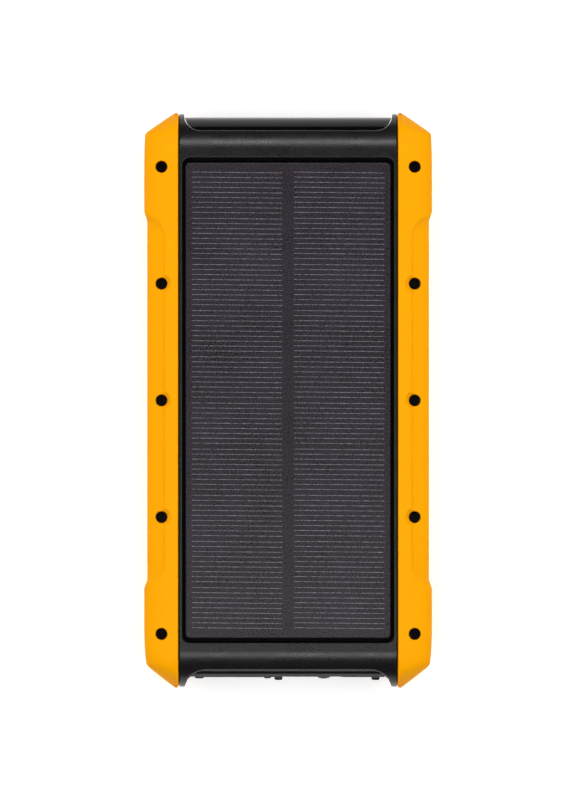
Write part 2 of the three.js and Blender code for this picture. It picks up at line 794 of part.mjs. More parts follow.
// A soft cover over some sockets, with a plug for each, a pull tab, and its fixed anchor.
function portCover(name, { hingeX, tip, tabX }, plugs) {
  const near = hingeX + COVER.hingeReach;
  const plate = alongY(
    roundedRect(near, COVER.low, tip, COVER.high, COVER.radius),
    COVER.face,
    COVER.back,
  );
  const halfTab = COVER.tabWidth / 2;
  const tab = block(
    [tabX - halfTab, COVER.tabFace, COVER.tabLow],
    [tabX + halfTab, COVER.face + 0.5, COVER.tabHigh],
  );
  const plugBodies = plugs.map(([x, kind, radius]) => {
    const half = kind.width / 2 - kind.wall - COVER.plugClearance;
    const low = BOARD.high + GAP + kind.wall + COVER.plugClearance;
    const high = BOARD.high + GAP + kind.height - kind.wall - COVER.plugClearance;
    const outline = roundedRect(x - half, low, x + half, high, radius);
    return alongY(outline, COVER.back - 0.5, COVER.plugEnd);
  });
  piece(`port_cover_${name}`, join(plate, tab, ...plugBodies), material.cover);
  const x = hingeX - ANCHOR.reach;
  const half = ANCHOR.width / 2;
  const anchor = block([x - half, ANCHOR.front, ANCHOR.low], [x + half, ANCHOR.end, ANCHOR.high]);
  piece(`cover_anchor_${name}`, anchor, material.cover);
}

// The power button, the switch behind it, and the light guide of the charge indicator.
function buttonAndIndicator() {
  const { x, z, radius, face } = BUTTON;
  const flangeFront = BEZEL.back + GAP;
  const flangeBack = flangeFront + BUTTON.flange;
  const stemEnd = flangeBack + BUTTON.stem;
  const cap = join(
    rodY(x, z, face, face + BUTTON.dome, BUTTON.domeRadius, radius),
    rodY(x, z, face + BUTTON.dome, flangeFront + GAP, radius),
    rodY(x, z, flangeFront, flangeBack, BUTTON.flangeRadius),
    rodY(x, z, flangeBack - GAP, stemEnd, BUTTON.stemRadius, BUTTON.stemRadius, SCREW.sides),
  );
  piece("power_button", cap, material.cover);
  const plungerFront = stemEnd + SWITCH.gap;
  const plungerBack = plungerFront + SWITCH.plungerLength;
  const { plungerHalfWidth: halfX, plungerHalfHeight: halfZ } = SWITCH;
  const plunger = block([x - halfX, plungerFront, z - halfZ], [x + halfX, plungerBack, z + halfZ]);
  piece("switch_plunger", plunger, material.tongue);
  const bodyFront = plungerFront + SWITCH.setBack;
  const slotEnd = plungerBack + BUTTON.travel + FIT;
  const body = cut(
    block(
      [x - SWITCH.halfWidth, bodyFront, BOARD.high + GAP],
      [x + SWITCH.halfWidth, bodyFront + SWITCH.depth, z + SWITCH.above],
    ),
    block([x - halfX - FIT, bodyFront - 1, z - halfZ - FIT], [x + halfX + FIT, slotEnd, z + halfZ + FIT]),
  );
  piece("switch_body", body, material.chip);
  const last = GUIDE.firstX + (GUIDE.count - 1) * GUIDE.pitch;
  const barFront = BEZEL.back + GAP;
  let guide = block(
    [GUIDE.firstX - GUIDE.barMargin, barFront, GUIDE.z - GUIDE.barHalfHeight],
    [last + GUIDE.barMargin, barFront + GUIDE.barDepth, GUIDE.z + GUIDE.barHalfHeight],
  );
  for (let i = 0; i < GUIDE.count; i++) {
    const pinX = GUIDE.firstX + i * GUIDE.pitch;
    const { face: pinFace, pinRadius: pin, sides } = GUIDE;
    guide = guide.add(rodY(pinX, GUIDE.z, pinFace, barFront + GAP, pin, pin, sides));
  }
  piece("indicator_light_guide", guide, material.guide);
}

// The circuit board with its soldered parts and the screws that hold it.
function mainBoard() {
  const { low, high, front, back, halfWidth } = BOARD;
  const holes = [-1, 1].map((side) => rodZ(side * POST.x, POST.y, low - 1, high + 1, BOARD.hole));
  let board = cut(midBlock(halfWidth, front, low, back, high), ...holes);
  for (let i = 0; i < GUIDE.count; i++) {
    const x = GUIDE.firstX + i * GUIDE.pitch;
    const { halfWidth: half, depth, height } = INDICATOR;
    board = board.add(block([x - half, front, high - GAP], [x + half, front + depth, high + height]));
  }
  piece("main_board", board, material.circuitBoard);
  const top = high + GAP;
  const coil = roundedRect(COIL.x0, COIL.y0, COIL.x1, COIL.y1, COIL.radius);
  piece("boost_inductor", alongZ(coil, top, top + COIL.height), material.ferrite);
  const chip = block([CHIP.x0, CHIP.y0, top], [CHIP.x1, CHIP.y1, top + CHIP.height]);
  piece("charge_controller", chip, material.chip);
  const can = rodZ(CAPACITOR.x, CAPACITOR.y, top, top + CAPACITOR.height, CAPACITOR.radius);
  piece("output_capacitor", can, material.aluminium);
  for (const [name, side] of [["left", -1], ["right", 1]]) {
    const { headRadius, headHeight, shankRadius, tip, sides } = BOARD_SCREW;
    const head = rodZ(side * POST.x, POST.y, top, top + headHeight, headRadius, sides);
    const shank = rodZ(side * POST.x, POST.y, tip, top + GAP, shankRadius, sides);
    piece(`board_screw_${name}`, head.add(shank), material.steel);
  }
}

// ---- Battery ----
function battery() {
  const { halfWidth, front, back, thickness, low, foam, terrace } = CELL;
  const pouch = (z) => {
    const section = roundedRect(-halfWidth, z, halfWidth, z + thickness, CELL.cornerRadius);
    const flap = midBlock(
      halfWidth - CELL.terraceInset,
      back - terrace,
      z + CELL.terraceLow,
      back + 1,
      z + CELL.terraceHigh,
    );
    return alongY(section, back, front).add(flap);
  };
  const upper = low + thickness + foam + 2 * GAP;
  piece("battery_cell_back", pouch(low), material.pouch);
  piece("battery_cell_front", pouch(upper), material.pouch);
  const padLow = low + thickness + GAP;
  const pad = midBlock(
    halfWidth - CELL.foamInsetX,
    back + CELL.foamInsetY,
    padLow,
    front - CELL.foamInsetY,
    padLow + foam,
  );
  piece("cell_foam_pad", pad, material.silicone);
  const tabBottom = low + CELL.terraceHigh + GAP;
  const tabTop = upper + CELL.terraceLow - GAP;
  const tabY = back - terrace + TAB.setBack;
  for (const [name, side] of [["positive", -1], ["negative", 1]]) {
    const x = side * TAB.x;
    const tab = block(
      [x - TAB.halfWidth, tabY, tabBottom],
      [x + TAB.halfWidth, tabY + TAB.thickness, tabTop],
    );
    piece(`battery_tab_${name}`, tab, material.nickel);
  }
  const guardLow = (tabBottom + tabTop - GUARD.thickness) / 2;
  const guard = midBlock(
    GUARD.halfWidth,
    back - terrace + GUARD.gap,
    guardLow,
    back - GUARD.gap,
    guardLow + GUARD.thickness,
  );
  piece("protection_board", guard, material.circuitBoard);
  for (const [name, side, look] of [
    ["positive", -1, material.redLead],
    ["negative", 1, material.blackLead],
  ]) {
    const route = BATTERY_LEAD_ROUTE.map(([x, y, z]) => [side * x, y, z]);
    piece(`battery_lead_${name}`, lead(route, LEAD_RADIUS), look);
  }
}

// ---- Leads of the panel and the lamp ----
function leads() {
  const { halfWidth, back, front, low } = PANEL.lead;
  const panelLead = midBlock(halfWidth, back, low, front, PANEL.floorZ + GAP);
  piece("panel_lead", panelLead, material.redLead);
  piece("lamp_lead", lead(LAMP_LEAD_ROUTE, LEAD_RADIUS, 6), material.blackLead);
}

// ---- Assembly ----
const envelope = shellEnvelope();
const cuts = jointCuts();
piece("front_shell", frontShell(envelope, cuts), material.shell);
piece("back_shell", backShell(envelope, cuts), material.shell);
for (const [name, side] of [["left", -1], ["right", 1]]) {
  piece(`${name}_rail`, rail(side), material.rail);
  screwPlaces.forEach((y, i) => {
    piece(`rail_screw_${name}_${i + 1}`, screw(side * SCREW.x, y), material.blackSteel);
  });
  const x = side * SEAL.x;
  const cord = block(
    [x - SEAL.width / 2, -SEAL.halfLength, MID_Z - SEAL.height / 2],
    [x + SEAL.width / 2, SEAL.halfLength, MID_Z + SEAL.height / 2],
  );
  piece(`side_seal_${name}`, cord, material.silicone);
}
solarPanel();
lamp();
portBezel();
sockets();
portCover("left", LEFT_COVER, [
  [USB_A.centres[0], USB_A, 0.6],
  [USB_C.centre, USB_C, 0.8],
]);
portCover("right", RIGHT_COVER, [[USB_A.centres[1], USB_A, 0.6]]);
buttonAndIndicator();
mainBoard();
battery();
leads();

export default bank;
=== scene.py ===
"""A rugged solar power bank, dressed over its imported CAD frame.

The bank lies on its back: the solar panel faces +Z, the lamp end +Y and the socket end -Y.
Every size is in metres.
"""

import logging
import math
from dataclasses import dataclass, field
from enum import Enum
from typing import Any, Iterable, Sequence

import bmesh
import bpy
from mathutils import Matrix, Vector


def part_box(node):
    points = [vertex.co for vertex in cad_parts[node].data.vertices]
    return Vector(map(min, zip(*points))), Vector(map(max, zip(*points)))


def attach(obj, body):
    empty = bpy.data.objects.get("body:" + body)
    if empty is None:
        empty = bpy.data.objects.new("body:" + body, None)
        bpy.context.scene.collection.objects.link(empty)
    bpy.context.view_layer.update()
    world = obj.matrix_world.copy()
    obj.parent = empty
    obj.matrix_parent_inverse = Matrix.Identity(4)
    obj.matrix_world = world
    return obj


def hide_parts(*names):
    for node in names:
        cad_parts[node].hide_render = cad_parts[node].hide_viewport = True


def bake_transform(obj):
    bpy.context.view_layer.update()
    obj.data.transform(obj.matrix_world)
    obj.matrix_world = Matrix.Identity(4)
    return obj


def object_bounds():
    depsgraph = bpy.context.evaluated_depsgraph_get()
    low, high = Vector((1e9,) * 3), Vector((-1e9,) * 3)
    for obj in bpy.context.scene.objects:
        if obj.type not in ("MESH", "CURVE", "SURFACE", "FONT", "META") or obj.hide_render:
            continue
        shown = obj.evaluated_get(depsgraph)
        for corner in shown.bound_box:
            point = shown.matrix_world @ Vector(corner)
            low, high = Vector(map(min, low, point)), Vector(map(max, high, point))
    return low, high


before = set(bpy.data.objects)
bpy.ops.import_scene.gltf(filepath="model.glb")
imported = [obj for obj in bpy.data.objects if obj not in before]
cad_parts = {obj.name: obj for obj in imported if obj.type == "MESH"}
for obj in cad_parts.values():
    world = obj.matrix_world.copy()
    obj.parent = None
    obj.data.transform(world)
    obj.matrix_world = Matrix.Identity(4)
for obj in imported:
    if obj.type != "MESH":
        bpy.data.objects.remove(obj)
CAD_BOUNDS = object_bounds()

log = logging.getLogger("solar_power_bank")

MM = 0.001
CASE = "case"
LEAST_CORNER = 0.02 * MM
ORIGIN = (0.0, 0.0, 0.0)
MID_Z = (CAD_BOUNDS[0].z + CAD_BOUNDS[1].z) / 2
Point = tuple[float, float, float]
Flat = tuple[float, float]


class Side(Enum):
    """The two sides of the bank, as the sign of X."""

    LEFT = -1
    RIGHT = 1

    @property
    def word(self) -> str:
        """The side's name as the CAD nodes use it."""
        return self.name.lower()


class Half(Enum):
    """The two shells: the front one carries the panel."""

    FRONT = 1
    BACK = -1


class Axis(Enum):
    """Which way a block's rounded outline is pushed out, and the two axes that it is drawn on."""

    ALONG_X = (1, 2, 0)
    ALONG_Y = (0, 2, 1)
    ALONG_Z = (0, 1, 2)

    def place(self, a: float, b: float, depth: float) -> Point:
        """The point at (a, b) of the outline's plane and at that depth.

        Args:
            a: the first of the plane's two values.
            b: the second one.
            depth: how far along the axis.

        Returns:
            The point as X, Y and Z.
        """
        point = [0.0, 0.0, 0.0]
        for index, value in zip(self.value, (a, b, depth)):
            point[index] = value
        return tuple(point)


class Pattern(Enum):
    """What the fine relief of a surface looks like, and how its noise is stretched."""

    GRAIN = ("even grain, as from a spark-eroded or sanded mould", (1.0, 1.0, 1.0))
    BRUSHED = ("fine lines along Y, as on rolled or drawn metal", (1.0, 0.03, 1.0))
    CREASED = ("soft wide creases, as in foil", (1.0, 0.5, 1.0))

    @property
    def stretch(self) -> Point:
        """The noise's scale along X, Y and Z."""
        return self.value[1]


# ---- Finishes ----
def linear(hex_colour: int) -> tuple[float, float, float, float]:
    """Turns an sRGB hex colour to linear light.

    Args:
        hex_colour: the colour as 0xRRGGBB.

    Returns:
        Linear red, green and blue, and an alpha of 1.
    """
    parts = [(hex_colour >> shift & 0xFF) / 255 for shift in (16, 8, 0)]
    lit = [c / 12.92 if c <= 0.04045 else ((c + 0.055) / 1.055) ** 2.4 for c in parts]
    return (*lit, 1.0)


def add_node(tree: Any, kind: str, inputs: dict | None = None, **settings: Any) -> Any:
    """Adds a node to a shader or geometry tree.

    Args:
        tree: the node tree.
        kind: the node's type name.
        inputs: socket name or index to a value, or to the socket that feeds it.
        settings: the node's own properties.

    Returns:
        The new node.
    """
    node = tree.nodes.new(kind)
    for name, value in settings.items():
        setattr(node, name, value)
    for key, value in (inputs or {}).items():
        if isinstance(value, bpy.types.NodeSocket):
            tree.links.new(value, node.inputs[key])
        else:
            node.inputs[key].default_value = value
    return node


def feed(tree: Any, kind: str, inputs: dict, output: str | int = 0, **settings: Any) -> Any:
    """Adds a node and hands back one of its outputs."""
    return add_node(tree, kind, inputs, **settings).outputs[output]


def noise(tree: Any, place: Any, size: float, detail: float, roughness: float) -> Any:
    """A noise whose features are about that size, in metres."""
    values = {"Vector": place, "Scale": 1 / size, "Detail": detail, "Roughness": roughness}
    return feed(tree, "ShaderNodeTexNoise", values, "Fac")


def mix(tree: Any, amount: Any, first: Any, second: Any) -> Any:
    """Mixes two colours."""
    values = {"Factor": amount, 6: first, 7: second}
    return feed(tree, "ShaderNodeMix", values, 2, data_type="RGBA")


def remap(tree: Any, value: Any, span: Flat, result: Flat) -> Any:
    """Turns a span of values into another one, and holds it there."""
    values = {"Value": value, 1: span[0], 2: span[1], 3: result[0], 4: result[1]}
    return feed(tree, "ShaderNodeMapRange", values, "Result")


NOISE_SPAN = (0.3, 0.75)  # nearly all of one noise lies in it
NOISE_SUM_SPAN = (0.6, 1.4)  # and nearly all of the sum of two
EDGE_SPAN = (0.995, 0.8)  # the cosine between a face and its softened edge, from flat to sharp
LEAST_ROUGHNESS = 0.02


@dataclass(frozen=True)
class Finish:
    """A surface finish, named for its material and for how the surface was made.

    The sizes of its patterns are real ones, in metres.
    """

    name: str
    colour: int
    shade: int  # the colour that the mottling drifts to
    roughness: float
    slot: str  # the record's material slot
    metallic: float = 0.0
    specular: float = 0.5
    spread: float = 0.08  # how far roughness wanders
    grain: float = 0.35 * MM
    relief: float = 0.02 * MM
    mottle: float = 9 * MM
    speckle: float = 0.0  # how strongly the grain shows in the colour
    pattern: Pattern = Pattern.GRAIN
    coat: float = 0.0
    coat_roughness: float = 0.1
    edge_colour: int | None = None  # rubbed or polished edges, which also carry a painted highlight along the rims
    edge_reach: float = 0.35 * MM

    def material(self) -> bpy.types.Material:
        """Makes the material, or finds it if it was made before."""
        made = bpy.data.materials.get(self.name)
        if made:
            return made
        made = bpy.data.materials.new(self.name)
        made.use_nodes = True
        tree = made.node_tree
        tree.nodes.clear()
        place = add_node(tree, "ShaderNodeTexCoord").outputs["Object"]
        fine = self.relief_field(tree, place)
        broad = noise(tree, place, self.mottle, detail=3.0, roughness=0.6)
        values = {
            "Metallic": self.metallic,
            "Specular IOR Level": self.specular,
            "Coat Weight": self.coat,
            "Coat Roughness": self.coat_roughness,
            "Base Color": self.colour_field(tree, fine, broad),
            "Roughness": self.roughness_field(tree, fine, broad),
            "Normal": self.normal_field(tree, fine),
        }
        shader = feed(tree, "ShaderNodeBsdfPrincipled", values, "BSDF")
        add_node(tree, "ShaderNodeOutputMaterial", {"Surface": shader})
        return made

    def relief_field(self, tree: Any, place: Any) -> Any:
        """The fine pattern that moves the relief, the roughness and the speckle."""
        placed = {"Vector": place, "Scale": self.pattern.stretch}
        mapped = feed(tree, "ShaderNodeMapping", placed, "Vector")
        return noise(tree, mapped, self.grain, detail=2.0, roughness=0.55)

    def colour_field(self, tree: Any, fine: Any, broad: Any) -> Any:
        """The colour: mottled broadly, speckled finely, and lightened along the edges, as rubbed
        wear and as a painted rim highlight.

        Args:
            tree: the shader tree.
            fine: the fine pattern's socket.
            broad: the mottling's socket.

        Returns:
            The colour's socket.
        """
        mixed = mix(tree, broad, linear(self.colour), linear(self.shade))
        if self.speckle:
            amount = remap(tree, fine, NOISE_SPAN, (1 - self.speckle, 1 + self.speckle))
            scaled = {0: mixed, "Scale": amount}
            mixed = feed(tree, "ShaderNodeVectorMath", scaled, "Vector", operation="SCALE")
        if self.edge_colour is None:
            return mixed
        # Lighter edges: rubbed wear, and a painted highlight along the rims.
        return mix(tree, self.edge_mask(tree, broad), mixed, linear(self.edge_colour))

    def edge_mask(self, tree: Any, broad: Any) -> Any:
        """Where an edge is lightened, as rubbed wear and as a painted highlight: more on some
        stretches than on others.

        Args:
            tree: the shader tree.
            broad: the mottling's socket.

        Returns:
            The socket of the mask, which is 1 where the edge is worn bare and painted brightest.
        """
        soft = feed(tree, "ShaderNodeBevel", {"Radius": self.edge_reach}, "Normal", samples=4)
        hard = add_node(tree, "ShaderNodeNewGeometry").outputs["Normal"]
        both = {0: soft, 1: hard}
        agree = feed(tree, "ShaderNodeVectorMath", both, "Value", operation="DOT_PRODUCT")
        turned_away = remap(tree, agree, EDGE_SPAN, (0.0, 1.0))
        return feed(tree, "ShaderNodeMath", {0: turned_away, 1: broad}, operation="MULTIPLY")

    def roughness_field(self, tree: Any, fine: Any, broad: Any) -> Any:
        """Roughness, wandering with the grain and with the mottling."""
        both = feed(tree, "ShaderNodeMath", {0: fine, 1: broad}, operation="ADD")
        least = max(LEAST_ROUGHNESS, self.roughness - self.spread)
        return remap(tree, both, NOISE_SUM_SPAN, (least, self.roughness + self.spread))

    def normal_field(self, tree: Any, fine: Any) -> Any:
        """The relief as a bump."""
        bump = {"Height": fine, "Distance": self.relief, "Strength": 1.0}
        return feed(tree, "ShaderNodeBump", bump, "Normal")


# Orange ABS from a finely sanded mould: an even satin that mirrors hardly anything.
RAIL_ABS = Finish(
    "moulded_orange_abs", 0xFFA700, 0xFFAC00, 0.52, "rail_plastic",
    specular=0.04, grain=0.3 * MM, relief=0.006 * MM, mottle=14 * MM, edge_colour=0xFFAE1A,
)
# PC/ABS from a spark-eroded mould: a dry black that speckles where the light rakes over it.
# Its lighter edge colour is partly rubbed wear and partly a painted highlight on the rims.
SHELL_PC_ABS = Finish(
    "spark_textured_black_pc_abs", 0x171417, 0x131113, 0.3, "shell_plastic",
    specular=0.32, grain=0.42 * MM, relief=0.013 * MM, speckle=0.4, edge_colour=0x4A474A,
)
# PC/ABS from a plainer mould: a little greyer and flatter than the shells.
BEZEL_PC_ABS = Finish(
    "moulded_black_pc_abs", 0x201E20, 0x1B191B, 0.4, "bezel_plastic",
    grain=0.42 * MM, relief=0.02 * MM, speckle=0.2, edge_colour=0x454245,
)
# Black oxide leaves the steel's own sheen under a thin dark skin.
BLACK_OXIDE_STEEL = Finish(
    "black_oxide_steel", 0x050505, 0x080809, 0.45, "screw_steel",
    metallic=0.2, specular=0.05, grain=0.12 * MM, relief=0.004 * MM, mottle=1.2 * MM,
    edge_colour=0x1A191C, edge_reach=0.08 * MM,
)
# Textured PET film over a black-masked board: a near-black that glints grain by grain.
PANEL_FILM = Finish(
    "textured_pet_film_on_black_board", 0x29232A, 0x2E262D, 0.32, "panel_resin",
    specular=0.24, grain=0.5 * MM, relief=0.011 * MM, mottle=25 * MM, speckle=0.9,
    edge_colour=0x3A363A, edge_reach=0.2 * MM,
)
# Nitride-coated silicon under the same film: hardly bluer than the board, where it mottles.
SILICON = Finish(
    "coated_monocrystalline_silicon", 0x292429, 0x2E2732, 0.32, "solar_cell",
    specular=0.24, grain=0.5 * MM, relief=0.011 * MM, mottle=25 * MM, speckle=0.9,
)
# Screen-printed silver paste, seen through the film, whose grain breaks up each line.
SILVER_PASTE = Finish(
    "screen_printed_silver_paste", 0x77707A, 0x5A535D, 0.45, "solar_cell",
    grain=0.55 * MM, relief=0.03 * MM, mottle=4 * MM, speckle=0.95,
)
# Smoked polycarbonate: black until it is lit, and as glossy as its polished mould.
SMOKED_POLYCARBONATE = Finish(
    "polished_smoked_polycarbonate", 0x060607, 0x080809, 0.11, "smoked_window",
    spread=0.03, grain=2.5 * MM, relief=0.004 * MM, specular=0.16,
)
# Soft thermoplastic elastomer: a dull black that picks up a faint bloom.
ELASTOMER = Finish(
    "moulded_black_elastomer", 0x1D1C1D, 0x232223, 0.62, "cover_rubber",
    grain=0.3 * MM, relief=0.015 * MM, speckle=0.15, edge_colour=0x3B393B,
)
# Silicone rubber: a matt grey without a highlight.
SILICONE = Finish(
    "grey_silicone_rubber", 0x37373A, 0x3F3F42, 0.7, "grey_silicone",
    relief=0.01 * MM,
)
# Closed-cell foam: a dead matt grey with small pits.
FOAM = Finish(
    "closed_cell_foam", 0x303033, 0x3A3A3D, 0.9, "cell_foam",
    grain=0.6 * MM, relief=0.08 * MM,
)
# Paper-backed tape: a flat warm white.
ADHESIVE_TAPE = Finish("white_adhesive_tape", 0xD8D8CE, 0xCFCFC4, 0.8, "panel_tape")
# Black solder mask: a smooth dark face with a soft sheen.
BLACK_BOARD = Finish("black_masked_glass_fibre_board", 0x121417, 0x16181C, 0.45, "panel_board")
# Cured adhesive, made near-black and dull as a painted shadow, so that the gap round the panel
# reads as a black line.
SHADOW_BLACK_ADHESIVE = Finish(
    "cured_black_adhesive", 0x040404, 0x060606, 0.9, "panel_tape",
    specular=0.1, grain=0.8 * MM, relief=0.03 * MM,
)
# Green solder mask: a clear, slightly uneven green.
GREEN_BOARD = Finish(
    "green_masked_glass_fibre_board", 0x0E4526, 0x125230, 0.35, "circuit_board",
    grain=0.5 * MM, relief=0.01 * MM, mottle=3 * MM,
)
# Vacuum-metallised plastic: a true mirror with the faint waves of its mould.
METALLISED = Finish(
    "vacuum_metallised_abs", 0xD9DADC, 0xD0D2D5, 0.08, "reflector_chrome",
    metallic=1.0, spread=0.03, relief=0.001 * MM,
)
# Rolled aluminium: a pale grey whose shine is drawn out along the rolling.
ROLLED_ALUMINIUM = Finish(
    "rolled_aluminium", 0xB4B7BB, 0xA9ACB0, 0.38, "aluminium",
    metallic=1.0, pattern=Pattern.BRUSHED, relief=0.004 * MM,
)
# Phosphor-filled resin: a waxy yellow.
PHOSPHOR = Finish("phosphor_resin", 0xEEDC74, 0xE6CF5C, 0.4, "lamp_chip", grain=0.2 * MM)
# Stamped and nickel-plated steel: a bright, faintly lined silver.
NICKEL_PLATED_STEEL = Finish(
    "stamped_nickel_plated_steel", 0xB9BABC, 0xACADB0, 0.28, "socket_steel",
    metallic=1.0, pattern=Pattern.BRUSHED, relief=0.003 * MM,
)
# Moulded nylon: a satin off-white.
WHITE_NYLON = Finish("moulded_white_nylon", 0xE2E1DC, 0xD8D7D1, 0.5, "tongue_white")
# The same in black, with the same satin.
BLACK_NYLON = Finish("moulded_black_nylon", 0x161618, 0x1C1C1F, 0.5, "chip_black")
# Pressed ferrite powder: a rough dark grey.
FERRITE = Finish("pressed_ferrite", 0x38393D, 0x313236, 0.75, "ferrite", relief=0.04 * MM)
# Frosted acrylic: a pale, smooth grey-white while it is unlit.
CLEAR_ACRYLIC = Finish(
    "frosted_acrylic_light_guide", 0xC9D2D6, 0xBEC8CD, 0.25, "light_guide",
    relief=0.003 * MM,
)
# Embossed foil pouch: a soft silver that breaks into wide creases.
POUCH_FOIL = Finish(
    "embossed_aluminium_pouch_foil", 0xA9ACB0, 0x9DA0A4, 0.32, "pouch_foil",
    metallic=0.9, pattern=Pattern.CREASED, grain=3 * MM, relief=0.08 * MM,
)
# Rolled nickel strip: a warm silver with fine lines.
NICKEL_STRIP = Finish(
    "rolled_nickel_strip", 0xC0BDB2, 0xB5B2A8, 0.3, "tab_nickel",
    metallic=1.0, pattern=Pattern.BRUSHED,
)
# Extruded PVC insulation: an even, half-glossy red.
RED_PVC = Finish("extruded_red_pvc", 0xAE1616, 0x9F1212, 0.45, "lead_red")
# The same in black.
BLACK_PVC = Finish("extruded_black_pvc", 0x151515, 0x1B1B1B, 0.45, "lead_black")
# Matt paper: the studio floor, white without a highlight.
PAPER = Finish("matte_white_paper", 0xF6F6F6, 0xF4F4F4, 0.9, "", specular=0.1)


# ---- Mesh tools ----
def link(name: str, data: Any) -> Any:
    """Makes an object from its data, at the origin, and links it to the scene."""
    obj = bpy.data.objects.new(name, data)
    bpy.context.scene.collection.objects.link(obj)
    return obj


def new_piece(name: str, points: Sequence[Point], faces: Iterable[Sequence[int]]) -> Any:
    """Makes a mesh object at the origin with its faces turned outwards.

    Args:
        name: the piece's name.
        points: the vertices.
        faces: vertex indices of each face.

    Returns:
        The new object.
    """
    mesh = bpy.data.meshes.new(name)
    mesh.from_pydata(points, [], faces)
    obj = link(name, mesh)
    clean(obj)
    return obj


def clean(obj: Any, merge: float = 0.002 * MM) -> None:
    """Merges doubled points and turns every face outwards.

    Args:
        obj: the piece.
        merge: points nearer than this become one.
    """
    bm = bmesh.new()
    bm.from_mesh(obj.data)
    bmesh.ops.remove_doubles(bm, verts=bm.verts, dist=merge)
    bmesh.ops.dissolve_degenerate(bm, edges=bm.edges, dist=merge)
    bmesh.ops.recalc_face_normals(bm, faces=bm.faces)
    bm.to_mesh(obj.data)
    bm.free()


def loft(name: str, rings: Sequence[Sequence[Point]]) -> Any:
    """Skins a row of closed rings with the same number of points, and closes both ends.

    Args:
        name: the piece's name.
        rings: the rings, in order.

    Returns:
        The closed piece.
    """
    count = len(rings[0])
    points = [p for ring in rings for p in ring]
    faces: list[tuple[int, ...]] = []
    for start in range(0, len(points) - count, count):
        for i in range(count):
            j = (i + 1) % count
            faces.append((start + i, start + j, start + count + j, start + count + i))
    faces.append(tuple(range(count)))
    faces.append(tuple(range(len(points) - count, len(points))))
    return new_piece(name, points, faces)


def round_rectangle(low: Flat, high: Flat, radius: float, steps: int = 8) -> list[Flat]:
    """The outline of a rectangle with round corners.

    Args:
        low: its lowest corner.
        high: its highest corner.
        radius: the corners' radius.
        steps: straight pieces in each corner.

    Returns:
        The outline's points, anticlockwise.
    """
    centres = (
        (high[0] - radius, low[1] + radius, -90),
        (high[0] - radius, high[1] - radius, 0),
        (low[0] + radius, high[1] - radius, 90),
        (low[0] + radius, low[1] + radius, 180),
    )
    outline = []
    for a, b, start in centres:
        for k in range(steps + 1):
            angle = math.radians(start + 90 * k / steps)
            outline.append((a + radius * math.cos(angle), b + radius * math.sin(angle)))
    return outline


def edge_steps(edge: float, steps: int = 4) -> list[Flat]:
    """How far a rounded rim steps in from the side, and down from the face, at each ring."""
    angles = [math.pi / 2 * k / steps for k in range(steps + 1)]
    return [(edge * (1 - math.sin(a)), edge * (1 - math.cos(a))) for a in angles]


def moulded_block(
    name: str,
    low: Point,
    high: Point,
    corner: float,
    edge: float,
    axis: Axis = Axis.ALONG_Z,
    steps: int = 6,
) -> Any:
    """A block with a round-cornered outline and rounded rims.

    Args:
        name: the piece's name.
        low: its lowest corner.
        high: its highest corner.
        corner: the radius of the outline's corners.
        edge: the radius of the rims at both ends of the axis.
        axis: the way that the outline is pushed out.
        steps: straight pieces in each corner.

    Returns:
        The piece.
    """
    a, b, depth = axis.value
    ends = [(low[depth] + down, inset) for inset, down in edge_steps(edge)[::-1]]
    ends = sorted(ends + [(high[depth] - (d - low[depth]), inset) for d, inset in ends])
    rings = []
    for level, inset in ends:
        outline = round_rectangle(
            (low[a] + inset, low[b] + inset),
            (high[a] - inset, high[b] - inset),
            max(corner - inset, LEAST_CORNER),
            steps,
        )
        rings.append([axis.place(p, q, level) for p, q in outline])
    return loft(name, rings)


def prism(name: str, outline: Sequence[Flat], start: float, stop: float, axis: Axis) -> Any:
    """Pushes a closed outline straight out between two depths."""
    return loft(name, [[axis.place(a, b, depth) for a, b in outline] for depth in (start, stop)])


def turned(name: str, profile: Sequence[Flat], centre: Point, axis: Axis, sides: int = 32) -> Any:
    """A turned solid.

    Args:
        name: the piece's name.
        profile: radius and depth of each ring, from one end to the other.
        centre: a point on the axis, where depth is 0.
        axis: the way that the axis runs.
        sides: how many sides each ring has.

    Returns:
        The piece.
    """
    a, b, depth = axis.value
    rings = []
    for radius, level in profile:
        ring = []
        for k in range(sides):
            angle = 2 * math.pi * (k + 0.5) / sides
            ring.append(
                axis.place(
                    centre[a] + radius * math.cos(angle),
                    centre[b] + radius * math.sin(angle),
                    centre[depth] + level,
                )
            )
        rings.append(ring)
    return loft(name, rings)


def combine(target: Any, tools: Sequence[Any], operation: str = "DIFFERENCE") -> Any:
    """Cuts, joins or crosses a piece with other ones, which are used up.

    Args:
        target: the piece that is changed.
        tools: the pieces that change it.
        operation: DIFFERENCE, UNION or INTERSECT.

    Returns:
        The target.
    """
    for tool in tools:
        change = target.modifiers.new("combine", "BOOLEAN")
        change.operation = operation
        change.solver = "EXACT"
        change.object = tool
        bake_modifiers(target)
        bpy.data.objects.remove(tool)
    clean(target)
    return target


def bake_modifiers(obj: Any) -> None:
    """Turns what the modifiers make into the piece's own plain mesh.

    Args:
        obj: the piece, whose modifiers are removed.
    """
    evaluated = obj.evaluated_get(bpy.context.evaluated_depsgraph_get())
    mesh = bpy.data.meshes.new_from_object(evaluated)
    obj.modifiers.clear()
    old = obj.data
    obj.data = mesh
    mesh.name = obj.name
    bpy.data.meshes.remove(old)


def merged(name: str, parts: Sequence[Any]) -> Any:
    """Puts several separate solids of one piece into one mesh.

    Args:
        name: the new piece's name.
        parts: the solids, which are used up.

    Returns:
        The new piece.
    """
    bm = bmesh.new()
    for part in parts:
        bm.from_mesh(part.data)
        bpy.data.objects.remove(part)
    mesh = bpy.data.meshes.new(name)
    bm.to_mesh(mesh)
    bm.free()
    return link(name, mesh)


